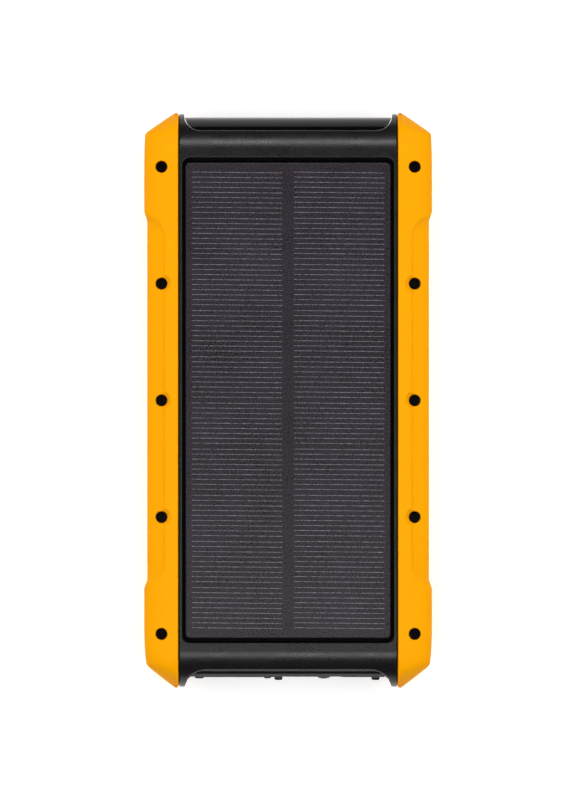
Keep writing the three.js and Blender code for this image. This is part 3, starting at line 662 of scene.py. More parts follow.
def dress(
    obj: Any, finish: Finish, body: str = CASE, stands_for: Sequence[str] = (), crease: float = 32.0
) -> Any:
    """Finishes a piece: shading, material, the body that it rides on and what it stands for.

    Args:
        obj: the piece.
        finish: its finish.
        body: the CAD body that it moves with.
        stands_for: the CAD nodes that it replaces.
        crease: the angle in degrees past which an edge stays sharp.

    Returns:
        The piece.
    """
    obj.data.materials.clear()
    obj.data.materials.append(finish.material())
    obj.data.shade_smooth()
    obj.data.set_sharp_from_angle(angle=math.radians(crease))
    even = obj.modifiers.new("even_shading", "WEIGHTED_NORMAL")
    even.keep_sharp = True
    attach(obj, body)
    if stands_for:
        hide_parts(*stands_for)
    log.info("%s: %d faces, %s, on %s", obj.name, len(obj.data.polygons), finish.name, body)
    return obj


# ---- Geometry Nodes ----
def new_tree(name: str, inputs: dict[str, str]) -> tuple[Any, Any]:
    """Starts a geometry tree with a geometry, some named inputs and a finish.

    Args:
        name: the tree's name.
        inputs: the type of each named input.

    Returns:
        The tree, and the outputs of its input node.
    """
    tree = bpy.data.node_groups.new(name, "GeometryNodeTree")
    kinds = {"Geometry": "Geometry", **inputs, "Finish": "Material"}
    for key, kind in kinds.items():
        tree.interface.new_socket(key, in_out="INPUT", socket_type=f"NodeSocket{kind}")
    tree.interface.new_socket("Geometry", in_out="OUTPUT", socket_type="NodeSocketGeometry")
    return tree, add_node(tree, "NodeGroupInput").outputs


def close_tree(tree: Any, geometry: Any, finish: Any) -> Any:
    """Ends a geometry tree: realizes what it makes, sets its material and puts it out.

    Args:
        tree: the tree.
        geometry: what the tree makes.
        finish: the material that it gets.

    Returns:
        The tree.
    """
    solid = feed(tree, "GeometryNodeRealizeInstances", {"Geometry": geometry})
    dressed = feed(tree, "GeometryNodeSetMaterial", {"Geometry": solid, "Material": finish})
    add_node(tree, "NodeGroupOutput", {"Geometry": dressed})
    return tree


def multiply(tree: Any, value: Any, factor: Any) -> Any:
    """A value times another one."""
    return feed(tree, "ShaderNodeMath", {0: value, 1: factor}, operation="MULTIPLY")


class Rows:
    """Repeats one piece in columns along X and rows along Y, centred on where it stands."""

    TREE = "rows_and_columns"

    @classmethod
    def tree(cls) -> Any:
        """Builds the node tree, or finds it if it was built before."""
        tree = bpy.data.node_groups.get(cls.TREE)
        if tree:
            return tree
        counts = dict.fromkeys(("Columns", "Rows"), "Int")
        sizes = dict.fromkeys(("Column pitch", "Row pitch", "Skew"), "Float")
        tree, given = new_tree(cls.TREE, {**counts, **sizes})

        def reach(count: Any, pitch: Any) -> Any:
            """How far it is from the first copy to the last."""
            gaps = feed(tree, "ShaderNodeMath", {0: count, 1: 1.0}, operation="SUBTRACT")
            return multiply(tree, gaps, pitch)

        grid = {
            "Size X": reach(given["Columns"], given["Column pitch"]),
            "Size Y": reach(given["Rows"], given["Row pitch"]),
            "Vertices X": given["Columns"],
            "Vertices Y": given["Rows"],
        }
        copies = {
            "Points": feed(tree, "GeometryNodeMeshGrid", grid, "Mesh"),
            "Instance": given["Geometry"],
            "Rotation": feed(tree, "ShaderNodeCombineXYZ", {"Z": given["Skew"]}),
        }
        placed = feed(tree, "GeometryNodeInstanceOnPoints", copies, "Instances")
        return close_tree(tree, placed, given["Finish"])

    @classmethod
    def repeat(
        cls,
        obj: Any,
        columns: int,
        rows: int,
        column_pitch: float,
        row_pitch: float,
        finish: Finish,
        skew: float = 0.0,
    ) -> Any:
        """Repeats a piece, which keeps its place as the middle of its copies.

        Args:
            obj: the piece, which is changed.
            columns: copies along X.
            rows: copies along Y.
            column_pitch: from column to column.
            row_pitch: from row to row.
            finish: the copies' finish.
            skew: how far each copy is turned about Z, in radians.

        Returns:
            The piece, with its copies as one plain mesh.
        """
        values = {
            "Columns": columns,
            "Rows": rows,
            "Column pitch": column_pitch,
            "Row pitch": row_pitch,
            "Skew": skew,
            "Finish": finish.material(),
        }
        run_tree(obj, cls.tree(), values)
        return obj


def run_tree(obj: Any, tree: Any, values: dict[str, Any]) -> None:
    """Runs a geometry tree on a piece and keeps the result as its plain mesh.

    Args:
        obj: the piece.
        tree: the tree.
        values: a value for each of the tree's named inputs.
    """
    change = obj.modifiers.new(tree.name, "NODES")
    change.node_group = tree
    for item in tree.interface.items_tree:
        if item.in_out == "INPUT" and item.name in values:
            change[item.identifier] = values[item.name]
    bake_modifiers(obj)


def shift(obj: Any, offset: Point) -> Any:
    """Moves a piece's mesh, so that its object stays at the origin.

    Args:
        obj: the piece.
        offset: how far it moves along X, Y and Z.

    Returns:
        The piece.
    """
    for vertex in obj.data.vertices:
        vertex.co += Vector(offset)
    obj.data.update()
    return obj


def middle(low: Vector, high: Vector) -> Flat:
    """The middle of a box along X and Z."""
    return (low.x + high.x) / 2, (low.z + high.z) / 2


def smooth_step(value: float) -> float:
    """Rises smoothly from 0 at 0 to 1 at 1, and stays level outside."""
    t = min(1.0, max(0.0, value))
    return t * t * (3 - 2 * t)


def spaced(start: float, stop: float, pitch: float) -> list[float]:
    """Evenly spaced values from start up to, and without, stop."""
    count = max(1, round((stop - start) / pitch))
    return [start + (stop - start) * k / count for k in range(count)]


# ---- Rails ----
@dataclass(frozen=True)
class Flange:
    """The shells' side flanges, which the rails close over."""

    near: float = 31.6 * MM
    length: float = 81.4 * MM
    corner_x: float = 36.2 * MM
    corner_y: float = 78.7 * MM
    top: float = 22.8 * MM

    def block(self, side: Side, bottom: float, top: float, room: float = 0.0) -> Any:
        """The flange's shape between two heights, larger all round by some room.

        Args:
            side: the side of the bank.
            bottom: the lower height.
            top: the upper height.
            room: how much larger it is.

        Returns:
            The block.
        """
        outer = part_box("front_shell")[1].x + room
        length, corner_x, corner_y = self.length + room, self.corner_x + room, self.corner_y + room
        plan = [
            (self.near, -length),
            (corner_x, -length),
            (outer, -corner_y),
            (outer, corner_y),
            (corner_x, length),
            (self.near, length),
        ]
        return prism("flange", [(side.value * x, y) for x, y in plan], bottom, top, Axis.ALONG_Z)


@dataclass(frozen=True)
class RailEnd:
    """How one end of the rails is drawn in, seen from the front."""

    taper: float  # how far the corner block's side curves in
    shoulder_drop: float  # how far in its slope has come at the shoulder


RAIL_END = {1: RailEnd(0.3 * MM, 1.8 * MM), -1: RailEnd(0.85 * MM, 2.75 * MM)}


@dataclass
class Rail:
    """One of the two bumper rails: a C-shaped moulding with a scooped grip and corner blocks."""

    side: Side
    low: Vector = field(init=False)
    high: Vector = field(init=False)
    waist_drop: float = 0.9 * MM  # the waist is this much slimmer than the corner blocks
    waist_end: float = 53.2 * MM
    block_start: float = 56.6 * MM
    shoulder: float = 80.9 * MM
    taper_start: float = 68 * MM
    tip_width: float = 1.25 * MM
    shoulder_round: float = 0.9 * MM
    crown_width: float = 5.4 * MM
    crown_radius: float = 9 * MM
    crown_in_waist: float = 0.2  # how much of the crown is left beside the grip
    rim_width: float = 1.0 * MM
    inner_edge: float = 0.45 * MM
    end_radius: float = 12 * MM
    end_centre: float = 75 * MM
    tip_edge: float = 0.6 * MM
    edge_steps: int = 4
    rim_steps: int = 6
    rim_share: float = 0.4  # of the width that is left, where the rail is narrow
    scoop_depth: float = 0.45 * MM
    scoop_width: float = 5.6 * MM
    scoop_ramp: float = 1.0 * MM
    scoop_straight: float = 48 * MM
    scoop_round: float = 6.8 * MM
    scoop_fall: float = 0.4
    across: int = 30
    pocket_room: float = 0.3 * MM
    pocket_rise: float = 0.2 * MM
    groove_count: int = 3
    groove_pitch: float = 3.4 * MM
    groove_width: float = 1.1 * MM
    groove_depth: float = 0.4 * MM
    groove_reach: float = 46 * MM
    bore_radius: float = 1.82 * MM
    bore_depth: float = 4 * MM
    bore_chamfer: float = 0.15 * MM
    shank_hole: float = 1.2 * MM
    screw_x: float = 37.8 * MM
    screw_pitch: float = 34.85 * MM
    screw_count: int = 5
    station_starts: tuple[float, ...] = (0, 44 * MM, 58 * MM, 74 * MM)
    station_pitches: tuple[float, ...] = (4 * MM, 0.5 * MM, 1.6 * MM, 0.45 * MM)
    corner_play: float = 0.01 * MM  # keeps a groove's two round ends from meeting in a point
    bore_sides: int = 40

    def __post_init__(self) -> None:
        """Reads the rail's box from the frame, as if it were on the right."""
        self.low, self.high = (v.copy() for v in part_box(f"{self.side.word}_rail"))
        if self.side is Side.LEFT:
            self.low.x, self.high.x = -self.high.x, -self.low.x

    def outer(self, y: float) -> float:
        """How far out the rail reaches at y: waist, corner block, or the sloped end.

        Args:
            y: where along the rail.

        Returns:
            The reach along X, as if the rail were on the right.
        """
        end = RAIL_END[-1 if y < 0 else 1]
        y = abs(y)
        rise = smooth_step((y - self.waist_end) / (self.block_start - self.waist_end))
        over = max(0.0, y - self.taper_start) / (self.shoulder - self.taper_start)
        block = self.high.x - self.waist_drop * (1 - rise) - end.taper * over**2
        tip = self.low.x + self.tip_width
        run = self.high.y - self.shoulder
        slope = tip + (self.high.y - y) * (self.high.x - end.shoulder_drop - tip) / run
        blend = smooth_step(0.5 + (block - slope) / (2 * self.shoulder_round))
        rounding = self.shoulder_round * blend * (1 - blend)
        return block * (1 - blend) + slope * blend - rounding

    def top(self, y: float) -> float:
        """The height of the rail's upper face at y, before its crown."""
        over = max(0.0, abs(y) - self.end_centre)
        centre = self.high.z - self.end_radius
        return centre + math.sqrt(self.end_radius**2 - over**2)

    def scoop(self, x: float, y: float) -> float:
        """How deep the grip's scoop is at a point.

        Args:
            x: how far from the middle of the bank.
            y: where along the rail.

        Returns:
            The depth.
        """
        waist = self.high.x - self.waist_drop
        across = (waist - x) / self.scoop_width
        along = max(0.0, abs(y) - self.scoop_straight) / self.scoop_round
        inside = (1 - math.hypot(across, along)) * self.scoop_width
        if inside <= 0:
            return 0.0
        return self.scoop_depth * smooth_step(inside / self.scoop_ramp) + self.scoop_fall * inside

    def section(self, y: float, inset: float) -> list[Point]:
        """The rail's outline at y.

        Args:
            y: where along the rail.
            inset: how far the outline is drawn in, for the rounded tips.

        Returns:
            The outline's points.
        """
        inner, outer = self.low.x + inset, self.outer(y) - inset
        top = self.top(y) - inset
        edge = self.inner_edge
        upper = [(inner, MID_Z)]
        for k in range(self.edge_steps + 1):
            angle = math.pi / 2 * k / self.edge_steps
            upper.append((inner + edge * (1 - math.cos(angle)), top - edge * (1 - math.sin(angle))))
        rim = min(self.rim_width, self.rim_share * (outer - inner))
        start, stop = inner + edge, outer - rim
        crown_start = outer - self.rim_width - self.crown_width
        for k in range(1, self.across + 1):
            x = start + (stop - start) * k / self.across
            over = max(0.0, x - crown_start)
            crown = self.crown_radius - math.sqrt(self.crown_radius**2 - over**2)
            waist = smooth_step((self.waist_end - abs(y)) / self.scoop_round)
            crown *= 1 - (1 - self.crown_in_waist) * waist
            upper.append((x, top - crown - self.scoop(x, y)))
        (x0, z0), (x1, z1) = upper[-2:]
        tilt = math.atan2(z0 - z1, x1 - x0)
        radius = rim / (1 - math.sin(tilt))
        for k in range(1, self.rim_steps + 1):
            angle = tilt + (math.pi / 2 - tilt) * k / self.rim_steps
            dx = radius * (math.sin(angle) - math.sin(tilt))
            dz = radius * (math.cos(tilt) - math.cos(angle))
            upper.append((x1 + dx, z1 - dz))
        upper.append((outer, MID_Z))
        lower = [(x, 2 * MID_Z - z) for x, z in upper[1:-1]][::-1]
        return [(self.side.value * x, y, z) for x, z in upper + lower]

    def stations(self) -> list[tuple[float, float]]:
        """Where the rail's outlines stand, with the inset of each."""
        end = self.high.y - self.tip_edge
        stops = (*self.station_starts, end)
        plain = []
        for start, stop, pitch in zip(stops, stops[1:], self.station_pitches):
            plain += [(y, 0.0) for y in spaced(start, stop, pitch)]
        for inset, down in edge_steps(self.tip_edge)[::-1]:
            plain.append((self.high.y - down, inset))
        plain = sorted(set(plain))
        return [(-y, inset) for y, inset in plain[:0:-1]] + plain

    def pocket(self) -> Any:
        """The room for the shells' flanges inside the rail."""
        flange = Flange()
        top = flange.top + self.pocket_rise
        return flange.block(self.side, 2 * MID_Z - top, top, self.pocket_room)

    def bores(self) -> Any:
        """The screws' counterbores, each with a small chamfer, and their clearance holes."""
        top = self.high.z
        depth = top - self.bore_depth
        mouth = self.bore_radius + self.bore_chamfer
        parts = []
        for k in range(self.screw_count):
            y = (k - (self.screw_count - 1) / 2) * self.screw_pitch
            x = self.side.value * self.screw_x
            face = self.top(y) - self.scoop(self.screw_x, y)
            profile = [
                (self.shank_hole, MID_Z),
                (self.shank_hole, depth),
                (self.bore_radius, depth),
                (self.bore_radius, face - self.bore_chamfer),
                (mouth, face),
                (mouth + MM, face + MM),
                (mouth + MM, top + MM),
            ]
            parts.append(turned(f"bore_{k}", profile, (x, y, 0), Axis.ALONG_Z, self.bore_sides))
        return merged("bores", parts)

    def grip_grooves(self) -> Any:
        """Long round-ended grooves in the waist's side, for the fingers."""
        face = self.high.x - self.waist_drop
        depths = sorted(self.side.value * x for x in (face - self.groove_depth, face + MM))
        grooves = []
        for k in range(self.groove_count):
            z = MID_Z + (k - (self.groove_count - 1) / 2) * self.groove_pitch
            grooves.append(
                moulded_block(
                    f"groove_{k}",
                    (depths[0], -self.groove_reach, z - self.groove_width / 2),
                    (depths[1], self.groove_reach, z + self.groove_width / 2),
                    self.groove_width / 2 - self.corner_play,
                    self.groove_depth / 2,
                    Axis.ALONG_X,
                )
            )
        return merged("grip_grooves", grooves)

    def build(self) -> None:
        """Builds and dresses the rail."""
        name = f"{self.side.word}_bumper_rail"
        obj = loft(name, [self.section(y, inset) for y, inset in self.stations()])
        combine(obj, [self.pocket(), self.bores(), self.grip_grooves()])
        dress(obj, RAIL_ABS, stands_for=[f"{self.side.word}_rail"])


@dataclass
class RailScrews:
    """The socket-head screws of both rails, sunk in their counterbores."""

    head_radius: float = 1.6 * MM
    head_height: float = 1.2 * MM
    chamfer: float = 0.16 * MM
    shank_radius: float = 1.0 * MM
    length: float = 16 * MM
    socket_across_flats: float = 1.5 * MM
    socket_depth: float = 0.8 * MM
    socket_chamfer: float = 0.12 * MM
    socket_mouth: float = 1.15  # the socket's mouth, as a share of its width
    tip_radius: float = 0.6 * MM
    tip_length: float = 0.5 * MM
    seat_edge: float = 0.05 * MM
    clearance: float = 0.05 * MM
    sides: int = 28

    def build(self, rail: Rail) -> None:
        """Builds one screw and repeats it along both rails.

        Args:
            rail: either rail, for the places of its bores.
        """
        seat = rail.high.z - rail.bore_depth + self.clearance
        top = self.head_height
        radius, chamfer = self.head_radius, self.chamfer
        bend = 0.3 * chamfer  # where the chamfer turns from steep to flat
        profile = [
            (self.tip_radius, -self.length),
            (self.shank_radius, -self.length + self.tip_length),
            (self.shank_radius, 0.0),
            (radius - self.seat_edge, 0.0),
            (radius, self.seat_edge),
            (radius, top - chamfer),
            (radius - bend, top - bend),
            (radius - chamfer, top),
        ]
        screw = turned("rail_screws", profile, ORIGIN, Axis.ALONG_Z, self.sides)
        across = self.socket_across_flats / math.sqrt(3)
        mouth = across * self.socket_mouth
        hexagon = [
            (across, top - self.socket_depth),
            (across, top - self.socket_chamfer),
            (mouth, top),
            (mouth, top + MM),
        ]
        socket = turned("socket", hexagon, ORIGIN, Axis.ALONG_Z, 6)
        combine(screw, [socket])
        Rows.repeat(
            screw, 2, rail.screw_count, 2 * rail.screw_x, rail.screw_pitch, BLACK_OXIDE_STEEL
        )
        shift(screw, (0, 0, seat))
        nodes = [
            f"rail_screw_{side.word}_{k + 1}" for side in Side for k in range(rail.screw_count)
        ]
        dress(screw, BLACK_OXIDE_STEEL, stands_for=nodes)


# ---- Shells ----
@dataclass(frozen=True)
class Notch:
    """The notch in one end of the shells, seen from the front."""

    half_width: float  # of its flat wall
    corner: float
    rim: float  # the rounding of its edge


NOTCH = {1: Notch(26.2 * MM, 5 * MM, 0.28 * MM), -1: Notch(24.35 * MM, 6.8 * MM, 0.55 * MM)}


# The rooms inside: half the width, from where to where along Y, and from what height to what.
ROOMS = {
    "battery_room": (33.2 * MM, (-77 * MM, 77 * MM), (3 * MM, 22 * MM)),
    "board_room": (29.2 * MM, (-80 * MM, -76 * MM), (6 * MM, 22 * MM)),
    "bezel_room": (30.2 * MM, (-91 * MM, -79 * MM), (5 * MM, 23 * MM)),
    "cover_swing_room": (30.7 * MM, (-91 * MM, -81.2 * MM), (7.8 * MM, 20.2 * MM)),
}
LAMP_ROOM = (76 * MM, 86 * MM)  # from where to where along Y


@dataclass
class Shell:
    """One half of the case, with half-round ends that are notched for the lamp and the sockets."""

    half: Half
    half_width: float = 32.6 * MM
    end_radius: float = 11 * MM
    notch_wall: float = 80.6 * MM
    side_rim: float = 0.4 * MM
    seam: float = 0.18 * MM
    seam_run: float = 0.108 * MM
    recess_room_x: float = 1.0 * MM
    recess_room_y: float = 1.4 * MM
    recess_corner: float = 2.3 * MM
    recess_rim: float = 0.35 * MM
    recess_floor: float = 24 * MM
    recess_foot: float = 0.3 * MM
    rim_steps: int = 5
    arc_steps: int = 14
    wide_pitch: float = 2.6 * MM
    close_pitch: float = 0.5 * MM
    end_play: float = 0.02 * MM  # keeps a slot's two round ends from meeting in a point
    room_corner: float = 0.6 * MM
    room_edge: float = 0.05 * MM
    lamp_play: float = 0.2 * MM
    slot_length: float = 44 * MM
    slot_width: float = 1.6 * MM
    slot_depth: float = 0.6 * MM
    slot_edge: float = 0.3 * MM
    slot_pitch: float = 11 * MM
    slot_count: int = 9
    rim_offsets: tuple[float, ...] = (0.0, 0.03 * MM, 0.09 * MM, 0.19 * MM, 0.33 * MM, 0.5 * MM)

    def __post_init__(self) -> None:
        """Reads the shell's box from the frame."""
        self.low, self.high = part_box("front_shell")
        self.face = self.high.z
        self.centre_y = self.high.y - self.end_radius
        self.centre_z = self.face - self.end_radius
        self.parting = self.low.z

    def notch(self, x: float, end: int) -> float:
        """How far along Y the shell reaches at x, before the notch or the end.

        Args:
            x: where across the shell.
            end: 1 for the lamp end, -1 for the socket end.

        Returns:
            The reach, as a distance from the middle.
        """
        notch = NOTCH[end]
        over = abs(x) - notch.half_width
        if over <= 0:
            return self.notch_wall
        if over >= notch.corner:
            return self.high.y
        reach = self.notch_wall + notch.corner - math.sqrt(notch.corner**2 - over**2)
        return min(reach, self.high.y)

    def rounding(self, inside: float, radius: float) -> float:
        """How far an edge's rounding drops the surface, that far inside the outline."""
        over = min(radius, max(0.0, radius - inside))
        return radius - math.sqrt(radius**2 - over**2)

    def height(self, x: float, y: float, end: int) -> float:
        """The height of the outer surface, with its rims rounded.

        Args:
            x: where across the shell.
            y: where along it.
            end: 1 for the lamp end, -1 for the socket end.

        Returns:
            The height along Z.
        """
        notch = NOTCH[end]
        x, y = abs(x), abs(y)
        over = min(self.end_radius, max(0.0, y - self.centre_y))
        surface = self.centre_z + math.sqrt(self.end_radius**2 - over**2)
        centre = self.notch_wall + notch.corner
        if x <= notch.half_width:
            inside = self.notch_wall - y
        elif y <= centre:
            inside = math.hypot(x - notch.half_width, y - centre) - notch.corner
        else:
            inside = x - notch.half_width - notch.corner
        at_notch = self.rounding(inside, notch.rim)
        at_side = self.rounding(self.half_width - x, self.side_rim)
        return surface - max(at_notch, at_side)

    def columns(self) -> list[float]:
        """Where the surface is sampled across: densely at the notches' corners and the sides."""
        inner = min(notch.half_width for notch in NOTCH.values())
        outer, corner = NOTCH[1].half_width, NOTCH[1].corner
        half = spaced(0, inner, self.wide_pitch) + spaced(inner, outer, self.close_pitch)
        steps = self.arc_steps
        half += [outer + corner * math.sin(math.pi / 2 * k / steps) for k in range(steps + 1)]
        half += [outer + corner + offset for offset in self.rim_offsets[1:]]
        half += [self.half_width - offset for offset in self.rim_offsets[::-1]]
        half = sorted(set(round(x, 7) for x in half))
        return [-x for x in half[:0:-1]] + half

    def end_profile(self, x: float, end: int) -> list[Flat]:
        """The surface at x from the start of the rounding to the parting line.

        Args:
            x: where across the shell.
            end: 1 for the lamp end, -1 for the socket end.

        Returns:
            Each point's y and z.
        """
        reach = self.notch(x, end)
        full = math.asin(min(1.0, (reach - self.centre_y) / self.end_radius))
        last = full - self.rim_offsets[-1] / self.end_radius
        angles = spaced(0, last, last / self.arc_steps)
        angles += [full - offset / self.end_radius for offset in self.rim_offsets[::-1]]
        profile = []
        for angle in angles:
            y = self.centre_y + self.end_radius * math.sin(angle)
            profile.append((y, self.height(x, y, end)))
        profile.append((reach, self.parting + self.seam))
        profile.append((reach - self.seam_run, self.parting))
        return profile

    def skin(self) -> Any:
        """The closed solid under the outer surface, down to the parting line."""
        columns = self.columns()
        points: list[Point] = []
        faces: list[tuple[int, ...]] = []
        count = len(self.end_profile(0, 1))
        grid: dict[tuple[int, int, int], int] = {}
        for end in NOTCH:
            profiles = [self.end_profile(x, end) for x in columns]
            for i, (x, profile) in enumerate(zip(columns, profiles)):
                for j, (y, z) in enumerate(profile):
                    grid[end, i, j] = len(points)
                    points.append((x, end * y, z))
            for i in range(len(columns) - 1):
                for j in range(count - 1):
                    faces.append(
                        (
                            grid[end, i, j],
                            grid[end, i + 1, j],
                            grid[end, i + 1, j + 1],
                            grid[end, i, j + 1],
                        )
                    )
        strips = len(self.rim_offsets) - 1
        last = len(columns) - 1
        for i in (*range(strips), *range(last - strips, last)):
            faces.append((grid[1, i, 0], grid[1, i + 1, 0], grid[-1, i + 1, 0], grid[-1, i, 0]))
        for i in (0, last):
            side = [grid[1, i, j] for j in range(count)]
            side += [grid[-1, i, j] for j in reversed(range(count))]
            faces.append(tuple(side))
        flat = [grid[1, i, 0] for i in range(strips, last - strips + 1)]
        flat += [grid[-1, i, 0] for i in reversed(range(strips, last - strips + 1))]
        if self.half is Half.FRONT:
            self.open_recess(points, faces, flat)
        else:
            faces.append(tuple(flat))
        floor = [grid[1, i, count - 1] for i in range(len(columns))]
        floor += [grid[-1, i, count - 1] for i in reversed(range(len(columns)))]
        faces.append(tuple(floor))
        if self.half is Half.BACK:
            points = [(x, y, 2 * MID_Z - z) for x, y, z in points]
        return new_piece(f"{self.half.name.lower()}_case_shell", points, faces)

    def open_recess(self, points: list[Point], faces: list, flat: list[int]) -> None:
        """Sinks the panel's recess into the flat of the front face.

        Args:
            points: the shell's points, which are added to.
            faces: the shell's faces, which are added to.
            flat: the outline of the flat.
        """
        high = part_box("solar_laminate")[1]
        half_x, half_y = high.x + self.recess_room_x, high.y + self.recess_room_y
        rim, foot = self.recess_rim, self.recess_foot
        angles = [math.pi / 2 * k / self.rim_steps for k in range(self.rim_steps + 1)]
        levels = [(rim - rim * math.sin(a), self.face - rim * (1 - math.cos(a))) for a in angles]
        levels += [(0.0, self.recess_floor + foot), (-foot, self.recess_floor)]
        rings = []
        for out, z in levels:
            outline = round_rectangle(
                (-half_x - out, -half_y - out),
                (half_x + out, half_y + out),
                self.recess_corner + out,
            )
            rings.append(list(range(len(points), len(points) + len(outline))))
            points.extend((x, y, z) for x, y in outline)
        hole, size = rings[0], len(rings[0])
        row = len(flat) // 2
        top, bottom = row // 2, row + row // 2
        faces.append((*flat[top : bottom + 1], *hole[: size // 2]))
        faces.append((*flat[bottom:], *flat[: top + 1], *hole[size // 2 - 1 :], hole[0]))
        for upper, lower in zip(rings, rings[1:]):
            for i in range(size):
                j = (i + 1) % size
                faces.append((upper[i], upper[j], lower[j], lower[i]))
        faces.append(tuple(rings[-1]))

    def flanges(self) -> list[Any]:
        """The side flanges that lie inside the rails."""
        flange = Flange()
        levels = (self.parting, flange.top)
        if self.half is Half.BACK:
            levels = (2 * MID_Z - flange.top, 2 * MID_Z - self.parting)
        return [flange.block(side, *levels) for side in Side]

    def hollows(self) -> list[Any]:
        """The rooms that the shell is hollowed for."""
        return [
            moulded_block(name, low, high, self.room_corner, self.room_edge)
            for name, (low, high) in self.rooms().items()
        ]

    def rooms(self) -> dict[str, tuple[Point, Point]]:
        """The lowest and the highest corner of each room inside the two shells."""
        rooms = {
            name: ((-half, y0, z0), (half, y1, z1))
            for name, (half, (y0, y1), (z0, z1)) in ROOMS.items()
        }
        low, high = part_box("lamp_reflector")
        play = self.lamp_play
        near, far = LAMP_ROOM
        rooms["lamp_room"] = (
            (low.x - play, near, low.z - play), (high.x + play, far, high.z + play)
        )
        return rooms

    def grip_slots(self) -> Any:
        """Round-ended slots across the back, one row of them, to keep it from sliding."""
        slot = moulded_block(
            "grip_slots",
            (-self.slot_length / 2, -self.slot_width / 2, -self.slot_depth),
            (self.slot_length / 2, self.slot_width / 2, self.slot_depth),
            self.slot_width / 2 - self.end_play,
            self.slot_edge,
        )
        Rows.repeat(slot, 1, self.slot_count, 0.0, self.slot_pitch, SHELL_PC_ABS)
        return shift(slot, (0, 0, 2 * MID_Z - self.face))

    def build(self) -> None:
        """Builds and dresses the shell."""
        obj = self.skin()
        combine(obj, self.flanges(), "UNION")
        combine(obj, self.hollows())
        if self.half is Half.BACK:
            combine(obj, [self.grip_slots()])
        dress(obj, SHELL_PC_ABS, stands_for=[f"{self.half.name.lower()}_shell"])


# ---- Solar panel ----
@dataclass
class AdhesiveShadowBead:
    """The bead of black adhesive round the panel, over the floor of its recess: a painted shadow in
    the gap.
    """

    shell: Shell
    gap: float = 0.06 * MM
    lift: float = 0.05 * MM
    rise: float = 0.35 * MM
    edge: float = 0.08 * MM
    hole_corner: float = 1.3 * MM
    hole_edge: float = 0.02 * MM

    def build(self) -> None:
        """Builds and dresses the bead."""
        low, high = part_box("solar_laminate")
        gap = self.gap
        level = self.shell.recess_floor + self.lift
        out_x, out_y = self.shell.recess_room_x - gap, self.shell.recess_room_y - gap
        bead = moulded_block(
            "panel_adhesive_shadow_bead",
            (low.x - out_x, low.y - out_y, level),
            (high.x + out_x, high.y + out_y, level + self.rise),
            self.shell.recess_corner - gap,
            self.edge,
        )
        hole = moulded_block(
            "hole",
            (low.x - gap, low.y - gap, level - MM),
            (high.x + gap, high.y + gap, level + MM),
            self.hole_corner,
            self.hole_edge,
        )
        combine(bead, [hole])
        # The bead's near-black finish paints the shadow in the gap round the panel.
        dress(bead, SHADOW_BLACK_ADHESIVE)


@dataclass(frozen=True)
class Tile:
    """A thin tile that is repeated over the panel."""

    corner: float
    edge: float
    root: float  # how far it reaches down into what is under it
    rise: float
    steps: int

    def make(self, name: str, width: float, length: float) -> Any:
        """The tile, centred on the origin."""
        x, y = width / 2, length / 2
        low, high = (-x, -y, -self.root), (x, y, self.rise)
        return moulded_block(name, low, high, self.corner, self.edge, steps=self.steps)


@dataclass
class SolarPanel:
    """The laminated panel: black board, two columns of cut cells, and their printed fingers."""

    columns: int = 2
    strips: int = 10
    strip_pitch: float = 13.78 * MM
    strip_gap: float = 0.3 * MM
    cell_inner: float = 1.2 * MM
    cell_outer: float = 29.1 * MM
    fingers: int = 9
    finger_pitch: float = 1.5 * MM
    finger_width: float = 0.17 * MM
    finger_inner: float = 1.75 * MM
    finger_outer: float = 28.75 * MM
    skew: float = math.radians(-0.6)
    cell: Tile = Tile(0.3 * MM, 0.01 * MM, 0.1 * MM, 0.03 * MM, 3)
    finger: Tile = Tile(0.05 * MM, 0.006 * MM, 0.05 * MM, 0.02 * MM, 2)
    corner: float = 1.3 * MM
    edge: float = 0.4 * MM
    corner_steps: int = 10

    def build(self) -> None:
        """Builds and dresses the panel."""
        low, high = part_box("solar_laminate")
        steps = self.corner_steps
        plate = moulded_block("solar_panel_plate", low, high, self.corner, self.edge, steps=steps)
        dress(plate, PANEL_FILM, stands_for=["solar_laminate"])
        grid = (self.columns, self.strips)
        width, length = self.cell_outer - self.cell_inner, self.strip_pitch - self.strip_gap
        cells = self.cell.make("solar_cell_strips", width, length)
        pitch_x = self.cell_outer + self.cell_inner
        Rows.repeat(cells, *grid, pitch_x, self.strip_pitch, SILICON)
        shift(cells, (0, 0, high.z))
        dress(cells, SILICON, stands_for=["solar_cells_left", "solar_cells_right"])
        width = self.finger_outer - self.finger_inner
        fingers = self.finger.make("cell_contact_fingers", width, self.finger_width)
        Rows.repeat(fingers, 1, self.fingers, 0.0, self.finger_pitch, SILVER_PASTE, self.skew)
        pitch_x = self.finger_outer + self.finger_inner
        Rows.repeat(fingers, *grid, pitch_x, self.strip_pitch, SILVER_PASTE)
        shift(fingers, (0, 0, high.z + self.cell.rise))
        dress(fingers, SILVER_PASTE)


